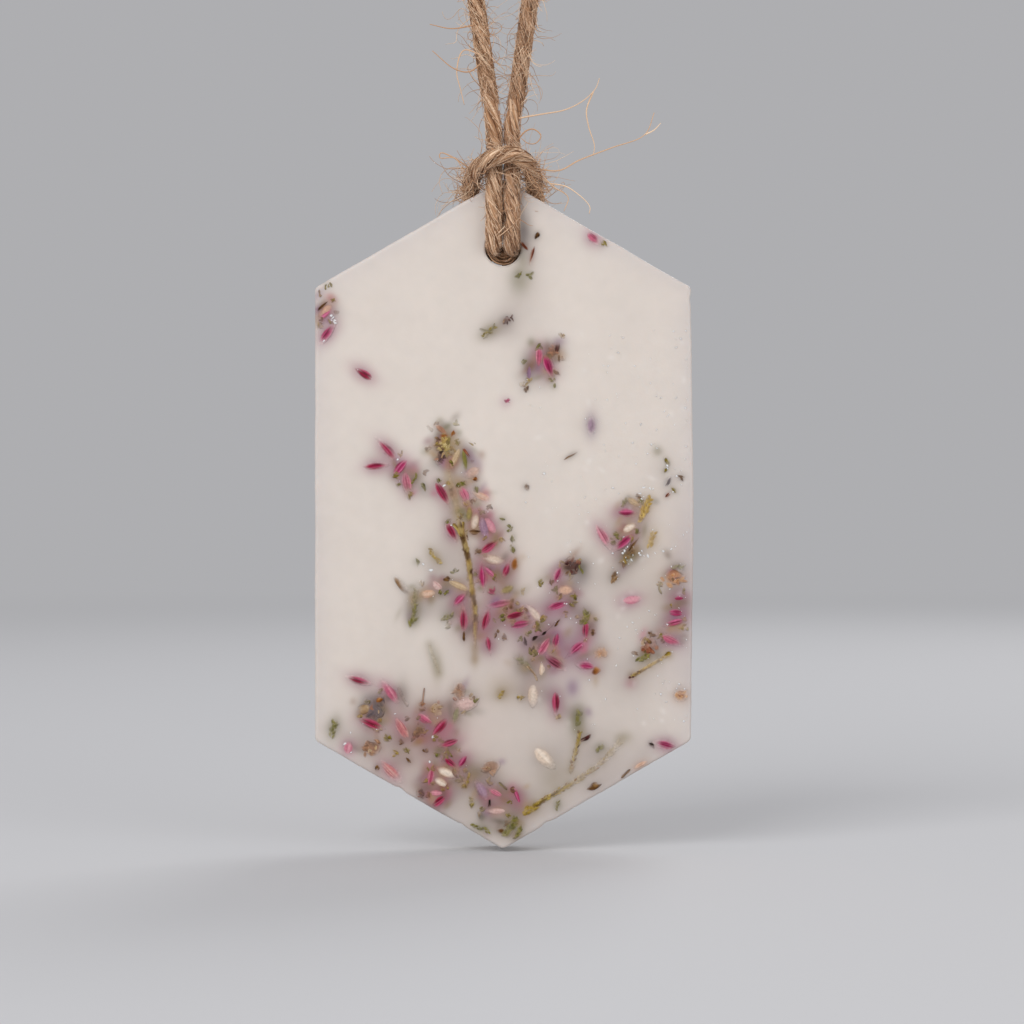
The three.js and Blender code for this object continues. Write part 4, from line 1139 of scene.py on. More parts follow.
class Bed:
    """The wax's face as colour: ivory, clouded and stained by what lies in it."""

    def __init__(self):
        self.rows = []

    def stain(self, x, z, turn, along, across, tint, strength, haze=0.0):
        self.rows.append((x, z, turn, along, across, *tint, strength, haze))

    def halo(self, x, z, turn, length, width, look, strength, haze):
        """The stain round a piece, wider and pinker round a red one."""
        if look in RED_LOOKS:
            tint, soft = mix(LOOKS[look][1], BUD_GLOW, RED_GLOW), RED_HALO
        else:
            tint, soft = mix(LOOKS[look][1], CLOUD, PLAIN_CLOUD), HALO
        along, across = HALO_SHARE * length + soft, HALO_SHARE * width + soft
        self.stain(x, z, turn, along, across, tint, strength, haze)

    def near(self, x, z):
        """The stains that reach a group of points."""
        rows = np.array(self.rows)
        reach = STAIN_REACH * np.maximum(np.maximum(rows[:, 3], rows[:, 4]), HAZE_REACH)
        close = (rows[:, 0] + reach > x.min()) & (rows[:, 0] - reach < x.max())
        close &= (rows[:, 1] + reach > z.min()) & (rows[:, 1] - reach < z.max())
        return rows[close]

    def crowding(self, x, z):
        """How thickly pieces lie round each point."""
        px, pz, *_, haze = self.near(x, z).T[:, :, None]
        return (haze * np.exp(-((x - px) ** 2 + (z - pz) ** 2) / (2 * HAZE_REACH**2))).sum(0)

    def crowding_at(self, x, z):
        """How thickly pieces lie round one place."""
        return self.crowding(np.array([x]), np.array([z]))[0]

    def colour_at(self, x, z):
        return np.vstack([self.block_colour(*part) for part in zip(*(
            np.array_split(axis, max(1, len(x) // COLOUR_BLOCK)) for axis in (x, z)
        ))])

    def block_colour(self, x, z):
        flat = np.column_stack([x, z])
        shade = 1 + ripples(flat, FACE_SHADES)
        edge = np.min([limit - flat @ normal for normal, limit in EDGE_LINES], axis=0)
        result = IVORY * (shade[:, None] - np.exp(-np.maximum(edge, 0) / EDGE_FADE)[:, None] * EDGE_SHADE)
        wash = np.zeros(len(x))
        for px, pz, across, up, strength in WASHES:
            wash += strength * bell((x - px) / across, (z - pz) / up)
        crowd = self.crowding(x, z) * (1 + ripples(flat, CROWD_SHADES))
        wash += HAZE_DEEPEST * (1 - np.exp(-((crowd / HAZE_CROWD) ** HAZE_ONSET)))
        result = mix(result, CLOUD, np.clip(wash, 0, WASH_MOST))
        for px, pz, turn, along, across, *tint, strength, _ in self.near(x, z):
            u = (x - px) * math.cos(turn) + (z - pz) * math.sin(turn)
            v = (z - pz) * math.cos(turn) - (x - px) * math.sin(turn)
            result = mix(result, np.array(tint), strength * bell(u / along, v / across))
        return result


class Spindle:
    """A closed body along its own X from -0.5 to 0.5, of half width 1, grooved along its lobes."""

    def __init__(self, seed, rows, sides, outline, groove, lobes, twist, rough):
        skew, fullness = outline
        u, angle = np.meshgrid(np.linspace(0, 1, rows), angles(sides), indexing="ij")
        start = np.random.default_rng(seed).uniform(*ANY_PHASE)
        seam = np.exp(-((np.sin(lobes / 2 * (angle - start - twist * u)) / SEAM_WIDTH) ** 2))
        profile = np.maximum(np.sin(math.pi * np.clip(u, 0.001, 0.999) ** skew) ** fullness, 0.02)
        ends = np.array([0.0, 1.0])
        self.u = np.concatenate([u.ravel(), ends])
        self.angle = np.concatenate([angle.ravel(), ends * 0])
        self.seam = np.concatenate([seam.ravel(), ends * 0])
        self.skin = np.column_stack([self.u * 2, np.cos(self.angle), np.sin(self.angle)])
        wobble = ripple(self.skin[:-2], 1.6, seed).reshape(u.shape)
        reach = profile * (1 - groove * seam) * (1 + rough * wobble)
        points = np.stack([u - 0.5, reach * np.cos(angle), reach * np.sin(angle)], -1).reshape(-1, 3)
        self.points = np.vstack([points, [-0.5, 0, 0], [0.5, 0, 0]])
        self.faces = tube_faces(rows, sides)

    def streaks(self, count, width):
        """A few stripes along the upper side, each over its own stretch."""
        total = np.zeros_like(self.u)
        for _ in range(count):
            place = math.pi * draw.uniform(0.15, 0.85) + draw.uniform(-0.5, 0.5) * (self.u - 0.5)
            start, end = draw.uniform(0, 0.35), draw.uniform(0.6, 0.95)
            stripe = np.exp(-(((self.angle - place) / (width * draw.uniform(0.6, 1.4))) ** 2))
            shown = smooth(self.u, start, start + STREAK_END)
            gone = smooth(self.u, end, end + STREAK_END)
            total = np.maximum(total, stripe * shown * (1 - gone))
        return total


def on_tablet(places, reach=0.0):
    """Places on the face, moved in where a piece of that reach would pass the tablet's edge."""
    for normal, limit in EDGE_LINES:
        over = np.maximum(0, places @ normal + reach + EDGE_ROUND - limit)
        places = places - np.asarray(over)[..., None] * normal
    return places


def sunk(body, x, z, turn, sizes, veil=0.0, sink=0.0):
    """A body set flush in the face, its near end deeper: its points, and how clear of wax they are."""
    length, width, depth, proud = sizes
    along = np.array([math.cos(turn), 0, math.sin(turn)])
    across = np.array([-math.sin(turn), 0, math.cos(turn)])
    local = body.points * (GROWTH[0] * length, GROWTH[1] * width / 2, depth / 2)
    local[:, 2] += 2 * sink * np.minimum(body.points[:, 0], 0) + proud - depth / 2
    lift = np.clip(local[:, 2] / proud, 0, 1)
    top = proud * (1 - VEIL_SINK * veil)
    local[:, 2] = np.where(lift > 0, top * smooth(lift**2, 0, 1), local[:, 2])
    middle = np.array([x, -HALF_THICKNESS, z])
    points = middle + local[:, :1] * along + local[:, 1:2] * across + local[:, 2:] * OUT
    points[:, [0, 2]] = on_tablet(points[:, [0, 2]])
    return points, smooth(lift**2, 0, RIM_FADE) * (1 - veil)


def press(batch, bed, body, x, z, turn, sizes, tint, veil=0.0, sink=0.0):
    """Sets a body in the face, its tint fading into the wax that covers it."""
    points, clear = sunk(body, x, z, turn, sizes, veil, sink)
    batch.add(points, body.faces, mix(bed.colour_at(points[:, 0], points[:, 2]), tint, clear))


def fainter(veil, least, most, limit=MOST_VEILED):
    """A veil changed by a random amount."""
    return np.clip(veil + draw.uniform(least, most), 0, limit)


def add_bud(batch, bed, x, z, turn, length, width, look, veil):
    """A closed bud: pale on one flank and at its base, streaked dark, dark at its tip."""
    body = Spindle(
        new_seed(), rows=22, sides=44, outline=BUD_OUTLINE, groove=0.14, lobes=5,
        twist=draw.uniform(-0.5, 0.5), rough=0.07,
    )
    dark, main, light = LOOKS[look]
    flank = draw.choice([-1, 1]) * np.cos(body.angle)
    tint = mix(main, light, 0.6 * smooth(flank, 0.0, 0.8))
    tint = mix(tint, light, 0.75 * body.streaks(count=4, width=0.12))
    tint = mix(tint, dark, 0.85 * body.streaks(count=3, width=0.14))
    tint = mix(tint, dark, 0.4 * body.seam * smooth(body.u, 0.1, 0.35))
    tint = mix(tint, light, 0.65 * (1 - smooth(body.u, 0.0, 0.35)))
    tint = mix(tint, dark, 0.45 * smooth(body.u, 0.7, 1.0))
    if draw.random() < GREEN_BASES:
        tint = mix(tint, LOOKS["olive"][1], 0.8 * (1 - smooth(body.u, 0.06, 0.16)))
    sizes = (BUD_STRETCH * length, BUD_SLIM * width, PIECE_DEPTH * PROUD, PROUD)
    press(batch, bed, body, x, z, turn, sizes, tint, veil, draw.uniform(0, DEEPEST_SINK))


def add_petal(batch, bed, x, z, turn, length, width, look, veil):
    """A loose petal or pale bud, often brown at its far end."""
    body = Spindle(
        new_seed(), rows=16, sides=28, outline=PETAL_OUTLINE, groove=0.06, lobes=2, twist=0.3, rough=0.06,
    )
    dark, main, light = LOOKS[look]
    tint = mix(light, main, 0.8 * smooth(np.abs(np.cos(body.angle)), 0.1, 0.9))
    tint = mix(tint, main, 0.6 * body.streaks(count=3, width=0.16))
    tint = mix(tint, dark, 0.45 * body.streaks(count=1, width=0.12))
    tint = mix(tint, dark, draw.uniform(0.2, 0.9) * smooth(body.u, 0.78, 0.98))
    sizes = (length, BUD_SLIM * width, PETAL_DEPTH * PROUD, PROUD)
    press(batch, bed, body, x, z, turn, sizes, tint, veil, draw.uniform(0, DEEPEST_SINK))


def add_leaflet(batch, bed, x, z, turn, length, width, look, veil, proud=PROUD):
    body = Spindle(
        new_seed(), rows=8, sides=12, outline=BLADE_OUTLINE, groove=0.1, lobes=2, twist=0.0, rough=0.1,
    )
    dark, main, light = LOOKS[look]
    tint = mix(main, light, np.clip(draw.uniform(-0.2, 0.8) + 0.4 * (1 - body.u), 0, 1))
    tint = mix(tint, dark, np.clip(draw.uniform(-0.5, 0.5) + 0.4 * body.seam, 0, 1))
    press(batch, bed, body, x, z, turn, (length, width, PIECE_DEPTH * proud, proud), tint, veil)


def add_chip(batch, bed, x, z, turn, length, width, look, veil):
    """A chip of stalk or husk, patched dark and light."""
    seed = new_seed()
    body = Spindle(
        seed, rows=12, sides=16, outline=PETAL_OUTLINE, groove=0.1, lobes=3, twist=0.4, rough=0.24,
    )
    dark, main, light = LOOKS[look]
    patch = ripple(body.skin, 1.2, seed)
    tint = mix(mix(main, dark, 0.8 * smooth(patch, 0.1, 1.2)), light, 0.7 * smooth(-patch, 0.3, 1.2))
    press(batch, bed, body, x, z, turn, (length, width, PIECE_DEPTH * PROUD, PROUD), tint, veil)


def add_sprig(batch, bed, x, z, turn, length, width, look, veil):
    """A tip of heather foliage: scale leaves crowded on a short stalk."""
    for share in np.linspace(-0.42, 0.42, max(6, round(length * width / LEAFLET_ROOM))):
        hand = draw.choice([-1, 1])
        place = beside(x, z, turn, length * share, hand * width * draw.uniform(0.02, 0.3))
        size = width * draw.uniform(0.6, 1.2)
        faint = fainter(veil, -0.1, 0.35)
        aim = turn + hand * draw.uniform(0.1, 0.9)
        proud = draw.uniform(0.7, 1.4) * PROUD
        sizes = 0.45 * size + LEAFLET_LENGTH, 0.2 * size + LEAFLET_WIDTH
        add_leaflet(batch, bed, *place, aim, *sizes, look, faint, proud)


def add_floret(batch, bed, x, z, turn, length, width, look, veil):
    """A dried open flower: a crumpled heart with petals and bits of stalk folded over it."""
    add_chip(batch, bed, x, z, turn, 0.8 * length, 0.75 * width, look, min(MOST_VEILED, veil + 0.3))
    for _ in range(FLORET_PETALS):
        place = beside(x, z, turn, length * draw.normal(0, 0.2), width * draw.normal(0, 0.2))
        tone = look if draw.random() < 0.8 else draw.choice(["brown", "tan", "rust"])
        add = add_leaflet if draw.random() < 0.5 else add_chip
        add(batch, bed, *place, draw.uniform(0, 3.1), draw.uniform(0.25, 0.5) * length,
            draw.uniform(0.18, 0.34) * width, tone, fainter(veil, 0, 0.45))


def add_crumb(batch, bed, x, z, look, veil):
    """A crumb of leaf or stalk, broken into two or three bits."""
    for _ in range(draw.integers(2, 4)):
        aside, up = draw.normal(0, CRUMB_SPREAD, 2)
        add_chip(batch, bed, x + aside, z + up, draw.uniform(*ANY_TURN), draw.uniform(*CRUMB_LENGTHS),
                 draw.uniform(*CRUMB_WIDTHS), look, fainter(veil, -0.15, 0.35))


def along_stem(veils, line):
    """Veils given at even steps, at each point of a stem's line."""
    return np.interp(np.linspace(0, 1, len(line)), np.linspace(0, 1, len(veils)), veils)


def add_twig(batch, bed, line, look, thick, thin, veils):
    """A bare stalk pressed along a line on the face, browner on one flank, ringed by leaf scars."""
    rows, sides = len(line), TWIG_SIDES
    seed = new_seed()
    across = unit(np.cross(OUT, unit(np.gradient(line, axis=0))))
    veil = along_stem(veils, line)
    angle = angles(sides)
    along = lengths_along(line)
    around = np.tile(np.column_stack([np.cos(angle), np.sin(angle)]), (rows, 1))
    skin = np.column_stack([np.repeat(along, sides), around])
    bark = ripple(skin * (0.25, 1, 1), BARK_WAVE, seed).reshape(rows, sides)
    patch = ripple(skin * (0.5, 0.5, 0.5), BARK_WAVE, seed + 1).reshape(rows, sides) + 0.35 * np.cos(angle)
    scar = np.exp(-((np.sin(math.pi * along / SCAR_SPACING) / SCAR_WIDTH) ** 2))

    ends = np.minimum(1, np.minimum(along, along[-1] - along) / TWIG_END + TWIG_STUB)
    knobs = 1 + KNOB_HEIGHT * ripple(along[:, None], BARK_WAVE, seed + 2) + SCAR_HEIGHT * scar
    radius = (thick + (thin - thick) * np.linspace(0, 1, rows)) * knobs * ends
    top = TWIG_PROUD * (1 - TWIG_SINK * veil)
    axis = np.column_stack([line[:, 0], TWIG_FLATNESS * radius - HALF_THICKNESS - top, line[:, 2]])
    reach = radius[:, None] * (1 + BARK_HEIGHT * bark)
    rings = axis[:, None, :] + reach[..., None] * rays(angle, across, TWIG_FLATNESS * OUT)
    points = np.vstack([rings.reshape(-1, 3), axis[:1], axis[-1:]])

    dark, main, light = LOOKS[look]
    shade = 0.15 * scar[:, None] + 0.8 * smooth(patch, -0.1, 0.7) + 0.35 * smooth(bark, 0.2, 1.0)
    tint = mix(main, light, smooth(bark - 0.4 * np.cos(angle), -0.3, 0.8))
    tint = mix(tint, dark, np.clip(shade, 0, 0.95))
    tint = np.vstack([tint.reshape(-1, 3), dark, dark])
    lift = np.maximum(-HALF_THICKNESS - points[:, 1], 0) / TWIG_PROUD
    clear = smooth(lift**1.5, 0, 0.9) * (1 - np.concatenate([np.repeat(veil, sides), veil[[0, -1]]]))
    batch.add(points, tube_faces(rows, sides), mix(bed.colour_at(points[:, 0], points[:, 2]), tint, clear))


def add_scales(batch, bed, line, look, reach, veils):
    """Small scale leaves that overlap along a twig, mixed with brown ones."""
    heading = np.arctan2(*np.gradient(line, axis=0)[:, [2, 0]].T)
    veil = along_stem(veils, line)
    for i in range(0, len(line), SCALE_EVERY):
        for hand in (-1, 1):
            place = beside(line[i, 0], line[i, 2], heading[i], 0, hand * reach * draw.uniform(0.15, 0.6))
            tone = draw.choice([look, look, "olive", "straw", "brown"])
            add_leaflet(batch, bed, *place, heading[i] + math.pi - hand * draw.uniform(0.2, 0.7),
                        draw.uniform(*SCALE_LENGTHS), draw.uniform(*SCALE_WIDTHS), tone,
                        fainter(veil[i], -0.1, 0.3, SCALE_VEIL), draw.uniform(1.0, 1.8) * PROUD)


def loose(rows, grow=1.0):
    """Loose pieces at their full size, kept on the face."""
    for x, z, turn, length, width, look, veil in rows:
        x, z = on_tablet(np.array([x, z]), 0.4 * width * grow)
        yield x, z, math.radians(turn), length * grow, width * grow, look, veil


def numbered(kind, looks):
    return [(f"{kind}_{i:02d}", look) for i, look in enumerate(looks, 1)]


def heather_places():
    """Every plant piece on the face: across, up, turn, length, width, look and how it clouds the wax."""
    nodes = [
        *numbered("heather_bud", BUD_LOOKS), *numbered("pale_bud", PALE_LOOKS),
        *numbered("dried_floret", FLORET_LOOKS), *numbered("leaf", LEAF_LOOKS),
    ]
    for node, look in nodes:
        low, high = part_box(node)
        x, z, turn = node_pose(node)
        yield x, z, turn, math.hypot(high.x - low.x, high.z - low.z) / MM, NODE_WIDTH, look, 1.0
    kinds = [
        (LOOSE_BUDS, 1.0), (LOOSE_PETALS, 1.0), (LOOSE_LEAVES, 0.8), (LOOSE_FLORETS, 1.0),
        (LOOSE_CHIPS, 0.25),
    ]
    for rows, haze in kinds:
        for x, z, turn, length, width, look, veil in loose(rows):
            yield x, z, turn, length, width, look, haze * (1 - 0.6 * veil)


def right_field(right, low):
    """A random place on the face, more often near its right side."""
    return right - FIELD_WIDTH * draw.uniform(0, 1) ** FIELD_CROWD, draw.uniform(low, FIELD_TOP)


def stain_bed(bed):
    """What the pieces, and those too deep to see, do to the wax round them."""
    places = list(heather_places())
    for *place, haze in places:
        bed.halo(*place, strength=0.33 + 0.22 * haze, haze=haze)
    for look, spots in CRUMBS.items():
        for x, z in spots:
            bed.halo(x, z, 0, CRUMB_SIZE, CRUMB_SIZE, look, strength=0.3, haze=0.25)
    for node, (look, *_) in STEM_LOOKS.items():
        for x, _, z in stem_line(node):
            bed.halo(x, z, 0, STEM_WIDTH, STEM_WIDTH, look, strength=0.3, haze=0.1)
    for x, z, across, up, look, strength in STAINS:
        bed.stain(x, z, 0, across, up, LOOKS[look][1], strength, haze=0.3)
    for x, z, *_ in places:
        for _ in range(round(DEEP_PIECES * smooth(bed.crowding_at(x, z), *CROWDED))):
            away, turn = draw.uniform(*DEEP_REACHES), draw.uniform(0, 2 * math.pi)
            bed.stain(*beside(x, z, turn, away), draw.uniform(*ANY_TURN), draw.uniform(*DEEP_LENGTHS),
                      draw.uniform(*DEEP_WIDTHS), LOOKS[draw.choice(DEEP_LOOKS)][1],
                      draw.uniform(*DEEP_STRENGTHS))
    for _ in range(FROST_SPOTS):
        bed.stain(*right_field(FROST_RIGHT, FROST_LOW), draw.uniform(*ANY_TURN),
                  draw.uniform(*FROST_LENGTHS), draw.uniform(*FROST_WIDTHS), FROST,
                  draw.uniform(*FROST_STRENGTHS))


def set_nodes(bed):
    """A heather piece of its own in place of each node."""
    kinds = [
        ("heather_bud", "bud", PETAL, "bud_crimson", add_bud, BUD_LOOKS, BUD_SIZES, TIP_DOWN, BUD_VEILS),
        ("pale_bud", "pale", PETAL, "bud_pale", add_petal, PALE_LOOKS, PALE_SIZES, PALE_TIP_DOWN,
         PALE_VEILS),
        ("dried_floret", "floret", PETAL, "floret_dried", add_floret, FLORET_LOOKS, FLORET_SIZES, (),
         FLORET_VEILS),
        ("leaf", "leaf_tip", FOLIAGE, "leaf_green", add_sprig, LEAF_LOOKS, LEAF_SIZES, (), LEAF_VEILS),
    ]
    for kind, name, material, slot, add, looks, sizes, flipped, veils in kinds:
        for i, ((node, look), size) in enumerate(zip(numbered(kind, looks), sizes), 1):
            x, z, turn = node_pose(node)
            batch = Batch()
            add(batch, bed, x, z, turn + math.pi * (i in flipped), *size, look, veils.get(i, THIN_VEIL))
            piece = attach(batch.piece(f"{name}_{i:02d}", material, slot), "tablet")
            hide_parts(node)
    for node, (look, thick, thin, veils) in STEM_LOOKS.items():
        batch = Batch()
        line = curve_through(stem_line(node), TWIG_STEP)
        add_twig(batch, bed, line, look, thick, thin, veils)
        if node in SCALED_STEMS:
            add_scales(batch, bed, line, look, SCALED_STEMS[node], veils)
        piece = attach(batch.piece(f"{node}_bark", STALK, "stem_straw"), "tablet")
        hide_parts(node)


def set_loose(bed):
    """The heather pieces that stand for no node, joined by kind."""
    groups = [
        ("loose_buds", PETAL, "bud_crimson", add_bud, LOOSE_BUDS, 1.05),
        ("loose_petals", PETAL, "bud_pale", add_petal, LOOSE_PETALS, 1.05),
        ("loose_leaves", FOLIAGE, "leaf_green", add_sprig, LOOSE_LEAVES, 1.05),
        ("loose_florets", PETAL, "floret_dried", add_floret, LOOSE_FLORETS, 1.05),
        ("loose_chips", STALK, "stem_straw", add_chip, LOOSE_CHIPS, 1.1),
    ]
    for name, material, slot, add, rows, grow in groups:
        batch = Batch()
        for row in loose(rows, grow):
            add(batch, bed, *row)
        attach(batch.piece(name, material, slot), "tablet")
    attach(crumbs(bed).piece("loose_crumbs", FOLIAGE, "leaf_green"), "tablet")
    twigs = Batch()
    for look, radius, veil, line in LOOSE_TWIGS:
        on_face = [(x, -HALF_THICKNESS, z) for x, z in line]
        add_twig(twigs, bed, curve_through(on_face, TWIG_STEP), look, radius, 0.8 * radius, (veil, veil))
    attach(twigs.piece("loose_twigs", STALK, "stem_straw"), "tablet")


def crumbs(bed):
    """The listed crumbs, and others strewn where the pieces lie thickly."""
    batch = Batch()
    for look, places in CRUMBS.items():
        for place in places:
            add_crumb(batch, bed, *on_tablet(np.array(place), CRUMB_EDGE), look, CRUMB_VEIL)
    listed = np.array([place[:2] for place in heather_places()])
    for x, z in listed:
        for _ in range(round(STREWN_CRUMBS * smooth(bed.crowding_at(x, z), *CROWDED))):
            away, turn = draw.uniform(*STREWN_REACHES), draw.uniform(0, 2 * math.pi)
            spot = on_tablet(np.array(beside(x, z, turn, away)), STREWN_EDGE)
            look, veil = draw.choice(STREWN_LOOKS), draw.uniform(*STREWN_VEILS)
            if np.hypot(*(listed - spot).T).min() > CRUMB_ROOM:
                add_crumb(batch, bed, *spot, look, veil)
    return batch


# Wax tablet

def hexagon(spacing):
    """Outline of the tablet, anticlockwise from the front, and its outward normals."""
    end = HALF_WIDTH * math.tan(END_SLOPE)
    top, bottom = HOLE_DROP, HOLE_DROP - TABLET_HEIGHT
    corners = np.array([
        (0, top), (-HALF_WIDTH, top - end), (-HALF_WIDTH, bottom + end),
        (0, bottom), (HALF_WIDTH, bottom + end), (HALF_WIDTH, top - end),
    ])
    points, normals = [], []
    for i, corner in enumerate(corners):
        following = corners[(i + 1) % 6]
        before, after = unit(corners[i - 1] - corner), unit(following - corner)
        half = math.acos(before @ after) / 2
        middle = corner + unit(before + after) * CORNER_RADIUS / math.sin(half)
        start = math.atan2(*(corner + before * CORNER_RADIUS / math.tan(half) - middle)[::-1])
        for turn in start + np.linspace(0, math.pi - 2 * half, CORNER_STEPS):
            normals.append((math.cos(turn), math.sin(turn)))
            points.append(middle + CORNER_RADIUS * np.array(normals[-1]))
        next_half = math.acos(-after @ unit(corners[(i + 2) % 6] - following)) / 2
        reach = CORNER_RADIUS / math.tan(next_half)
        goal = following - after * reach
        steps = round(np.linalg.norm(goal - points[-1]) / spacing)
        first, normal = points[-1], normals[-1]
        for share in np.arange(1, steps) / steps:
            points.append(first + (goal - first) * share)
            normals.append(normal)
    points, normals = np.array(points), np.array(normals)
    wear = ripples(points, EDGE_WEAR)
    bow = np.exp(-(((points[:, 1] - (top + bottom) / 2) / BOW_REACH) ** 2))
    wear += SIDE_BOW * bow * (points[:, 0] > HALF_WIDTH - CORNER_RADIUS)
    for x, z, depth, reach in NICKS:
        wear -= depth * np.exp(-((points - (x, z)) ** 2).sum(1) / (2 * reach**2))
    return points + normals * wear[:, None], normals


def lattice(spacing):
    """Points of a triangle lattice inside the outline and outside the hole, clear of both."""
    rows = np.arange(HOLE_DROP - TABLET_HEIGHT, HOLE_DROP, spacing * math.sqrt(0.75))
    line = np.arange(-HALF_WIDTH, HALF_WIDTH, spacing)
    grid = np.vstack([np.column_stack([line + (i % 2) * spacing / 2, np.full(len(line), z)])
                      for i, z in enumerate(rows)])
    clear = np.hypot(*grid.T) > HOLE_RADIUS + HOLE_EDGE_ROUND + HOLE_ROOM * spacing
    for normal, limit in EDGE_LINES:
        clear &= grid @ normal < limit - EDGE_ROUND - EDGE_ROOM * spacing - WEAR_ROOM
    for x, z, depth, reach in NICKS:
        clear &= np.hypot(grid[:, 0] - x, grid[:, 1] - z) > depth + NICK_ROOM * reach + spacing
    middle = HOLE_DROP - TABLET_HEIGHT / 2
    tip = TABLET_HEIGHT / 2 - CORNER_RADIUS / math.cos(END_SLOPE) + CORNER_RADIUS - EDGE_ROUND - TIP_ROOM
    return grid[clear & (np.abs(grid[:, 1] - middle) < tip)]


def face_triangles(outline, hole, inner):
    """Triangles of a flat face with a hole, over the outline, the hole's ring and the inner points."""
    flat = [Vector(point) for point in np.vstack([outline, hole, inner])]
    first, count = len(outline), len(hole)
    edges = [(i, (i + 1) % first) for i in range(first)]
    edges += [(first + i, first + (i + 1) % count) for i in range(count)]
    points, _, faces, *_ = delaunay_2d_cdt(flat, edges, [], INSIDE_ONLY, SAME_POINT)
    middles = np.array(points)[np.array(faces)].mean(1)
    return [face for face, middle in zip(faces, middles) if np.hypot(*middle) > HOLE_RADIUS]


def wall_rows(size, steps=5, rows=7):
    """Inset and place through the thickness of each ring of a wall with edges rounded by a size, from
    the front face to the back."""
    turn = np.linspace(0, math.pi / 2, steps)
    front = list(zip(size * (1 - np.sin(turn)), -HALF_THICKNESS + size * (1 - np.cos(turn))))
    span = HALF_THICKNESS - size
    middle = [(0.0, y) for y in np.linspace(-span, span, rows)[1:-1]]
    return front + middle + [(inset, -y) for inset, y in reversed(front)]


def wall_faces(rings, count, inward):
    """Quads between rings of points, given by where each ring starts."""
    faces = []
    for a, b in zip(rings, rings[1:]):
        for i in range(count):
            j = (i + 1) % count
            faces.append((a + i, a + j, b + j, b + i) if inward else (a + i, b + i, b + j, a + j))
    return faces


def tablet_mesh():
    """Points and faces of the tablet: its wall, the hole's wall, the front and the back."""
    outline, normals = hexagon(OUTLINE_SPACING)
    spokes = np.column_stack([np.cos(angles(HOLE_SIDES)), np.sin(angles(HOLE_SIDES))])
    sides, holes = wall_rows(EDGE_ROUND), wall_rows(HOLE_EDGE_ROUND)
    points = []

    def add_points(flat, y):
        first = sum(map(len, points))
        points.append(np.column_stack([flat[:, 0], np.broadcast_to(y, len(flat)), flat[:, 1]]))
        return first

    side_rings = [add_points(outline - normals * inset, y) for inset, y in sides]
    hole_rings = [add_points(spokes * (HOLE_RADIUS + inset), y) for inset, y in holes]
    faces = wall_faces(side_rings, len(outline), inward=False)
    faces += wall_faces(hole_rings, len(spokes), inward=True)
    for end, spacing, y in ((0, FACE_SPACING, -HALF_THICKNESS), (-1, BACK_SPACING, HALF_THICKNESS)):
        edge = outline - normals * sides[end][0]
        hole = spokes * (HOLE_RADIUS + holes[end][0])
        inner = lattice(spacing)
        first = add_points(inner, y + ripples(inner, FACE_WAVES) * smooth(np.hypot(*inner.T), *FLAT_RING))
        index = np.concatenate([
            side_rings[end] + np.arange(len(edge)), hole_rings[end] + np.arange(len(hole)),
            first + np.arange(len(inner)),
        ])
        order = 1 if end == 0 else -1
        faces += [tuple(index[list(face)][::order]) for face in face_triangles(edge, hole, inner)]
    return np.vstack(points), faces


def wax_body(bed):
    points, faces = tablet_mesh()
    stained = bed.colour_at(points[:, 0], points[:, 2])
    shown = np.exp(-(points[:, 1] + HALF_THICKNESS) / STAIN_DEPTH)
    mottle = 1 + ripples(points, BODY_SHADES)
    tablet = Batch()
    tablet.add(points, faces, mix(IVORY * mottle[:, None], stained, shown))
    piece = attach(tablet.piece("wax_body", WAX, "wax"), "tablet")
    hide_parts("wax_tablet")


def speck_body(source):
    return Spindle(
        new_seed(source), rows=7, sides=8, outline=PETAL_OUTLINE, groove=0.1, lobes=3, twist=0.4, rough=0.25,
    )


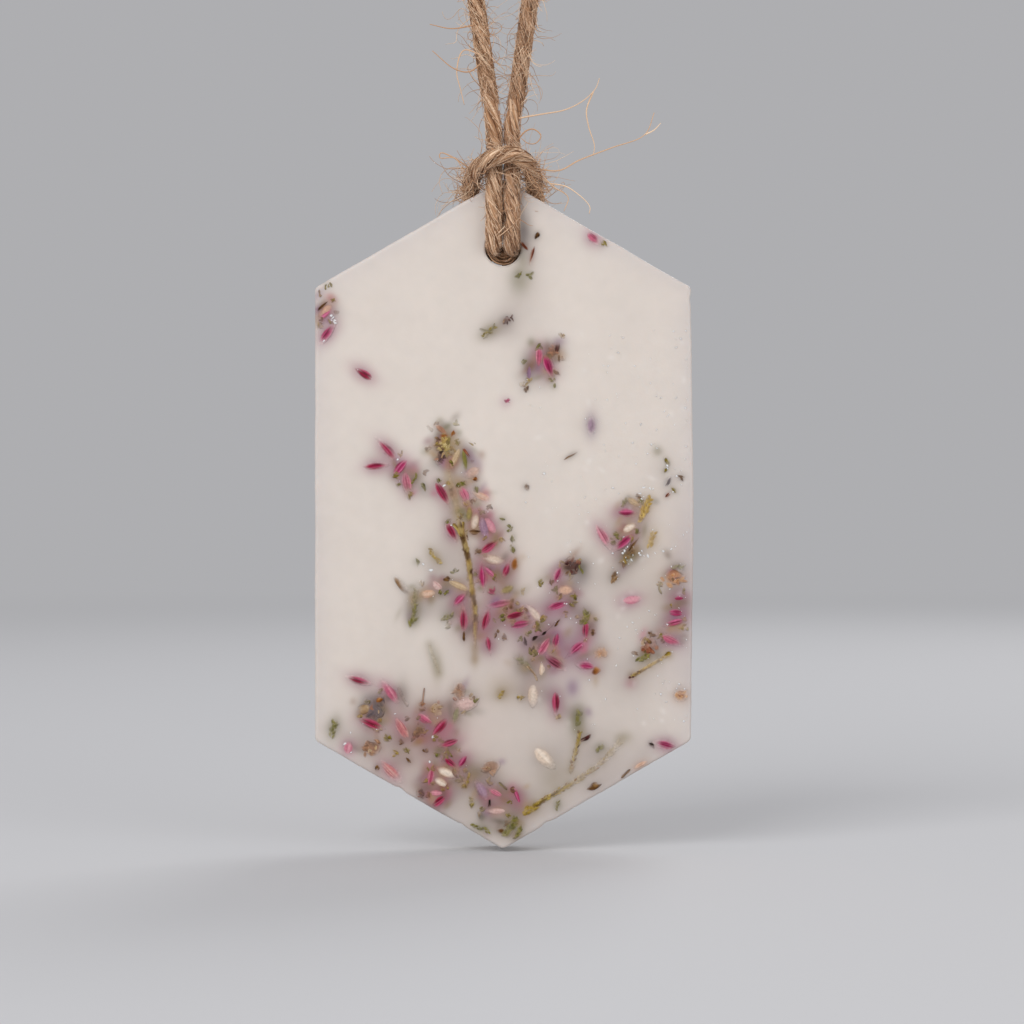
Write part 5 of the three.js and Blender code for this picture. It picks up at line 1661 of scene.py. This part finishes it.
def wax_flecks(bed):
    """Bright crystals on the face, painted white as glints, more of them at its right, and paler ones on the
    back.
    """
    flecks = Batch()
    specks = [(x, z, draw.uniform(*LISTED_SIZES)) for x, z in FLECKS]
    specks += [
        (*right_field(SPECKS_RIGHT, SPECKS_LOW), draw.uniform(*FIELD_SIZES)) for _ in range(FIELD_SPECKS)
    ]
    low, high = SPECK_HEIGHTS
    specks += [
        (x + draw.normal(0, SPECK_SPREAD), z + draw.normal(0, SPECK_SPREAD), draw.uniform(*BESIDE_SIZES))
        for x, z, *_ in list(heather_places())[::SPECK_EVERY]
        if abs(x) < HALF_WIDTH - SPECK_EDGE and low < z < high
    ]
    for x, z, size in specks:
        body = speck_body(draw)
        turn, slim = draw.uniform(*ANY_TURN), draw.uniform(*SPECK_SLIMS)
        press(flecks, bed, body, x, z, turn, (size, size * slim, SPECK_DEPTH, SPECK_PROUD), CRYSTAL_GLINT)
    pick = np.random.default_rng(BACK_SEED)
    for _ in range(BACK_SPECKS):
        x, z = on_tablet(pick.uniform(*BACK_AREA), BACK_EDGE)
        body = speck_body(pick)
        size = pick.uniform(*BACK_SIZES)
        sizes = (size, BACK_SLIM * size, SPECK_DEPTH, SPECK_PROUD)
        points = sunk(body, x, z, pick.uniform(*ANY_TURN), sizes)[0]
        shown = smooth(-points[:, 1], HALF_THICKNESS, HALF_THICKNESS + SPECK_PROUD)
        behind = [face[::-1] for face in body.faces]
        flecks.add(points * (1, -1, 1), behind, mix(IVORY, PALE_SPECK, shown))
    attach(flecks.piece("wax_flecks", WAX, "wax"), "tablet")


# Stage, light and camera

def floor():
    """A wide pale floor just under the tablet's lower tip."""
    mesh = bpy.data.meshes.new("floor")
    corners = [(x * FLOOR_HALF, y * FLOOR_HALF, 0) for x, y in ((-1, -1), (1, -1), (1, 1), (-1, 1))]
    mesh.from_pydata(corners, [], [(0, 1, 2, 3)])
    mesh.materials.append(FLOOR)
    plane = bpy.data.objects.new("floor", mesh)
    plane.location = (0, 0, WAX_LOW[2] * MM - FLOOR_GAP)
    bpy.context.scene.collection.objects.link(plane)


def soft_light(name, place, size, power):
    data = bpy.data.lights.new(name, "AREA")
    data.size, data.energy = size, power
    lamp = bpy.data.objects.new(name, data)
    lamp.location = place
    lamp.rotation_euler = (Vector(LIGHT_TARGET) - lamp.location).to_track_quat("-Z", "Y").to_euler()
    bpy.context.scene.collection.objects.link(lamp)


def studio():
    world = bpy.data.worlds.new("studio")
    world.use_nodes = True
    world.node_tree.nodes["Background"].inputs["Color"].default_value = (*STUDIO_COLOUR, 1)
    world.node_tree.nodes["Background"].inputs["Strength"].default_value = STUDIO_LEVEL
    bpy.context.scene.world = world
    for light in LIGHTS:
        soft_light(*light)


def camera():
    """The photograph's view: square on to the face, through a long lens."""
    across, up = PICTURE_MIDDLE
    data = bpy.data.cameras.new("camera")
    data.lens, data.sensor_width = LENS, SENSOR_WIDTH
    made = bpy.data.objects.new("camera", data)
    away = -PICTURE_WIDTH * MM * data.lens / data.sensor_width
    made.location = in_frame((across, -HALF_THICKNESS, up)) + np.array([0, away, 0])
    made.rotation_euler = (math.pi / 2, 0, 0)
    bpy.context.scene.collection.objects.link(made)
    bpy.context.scene.camera = made


bed = Bed()
stain_bed(bed)
camera()
hang_twine()
wax_body(bed)
wax_flecks(bed)
set_nodes(bed)
set_loose(bed)
floor()
studio()
bpy.context.scene.view_settings.view_transform = "Standard"
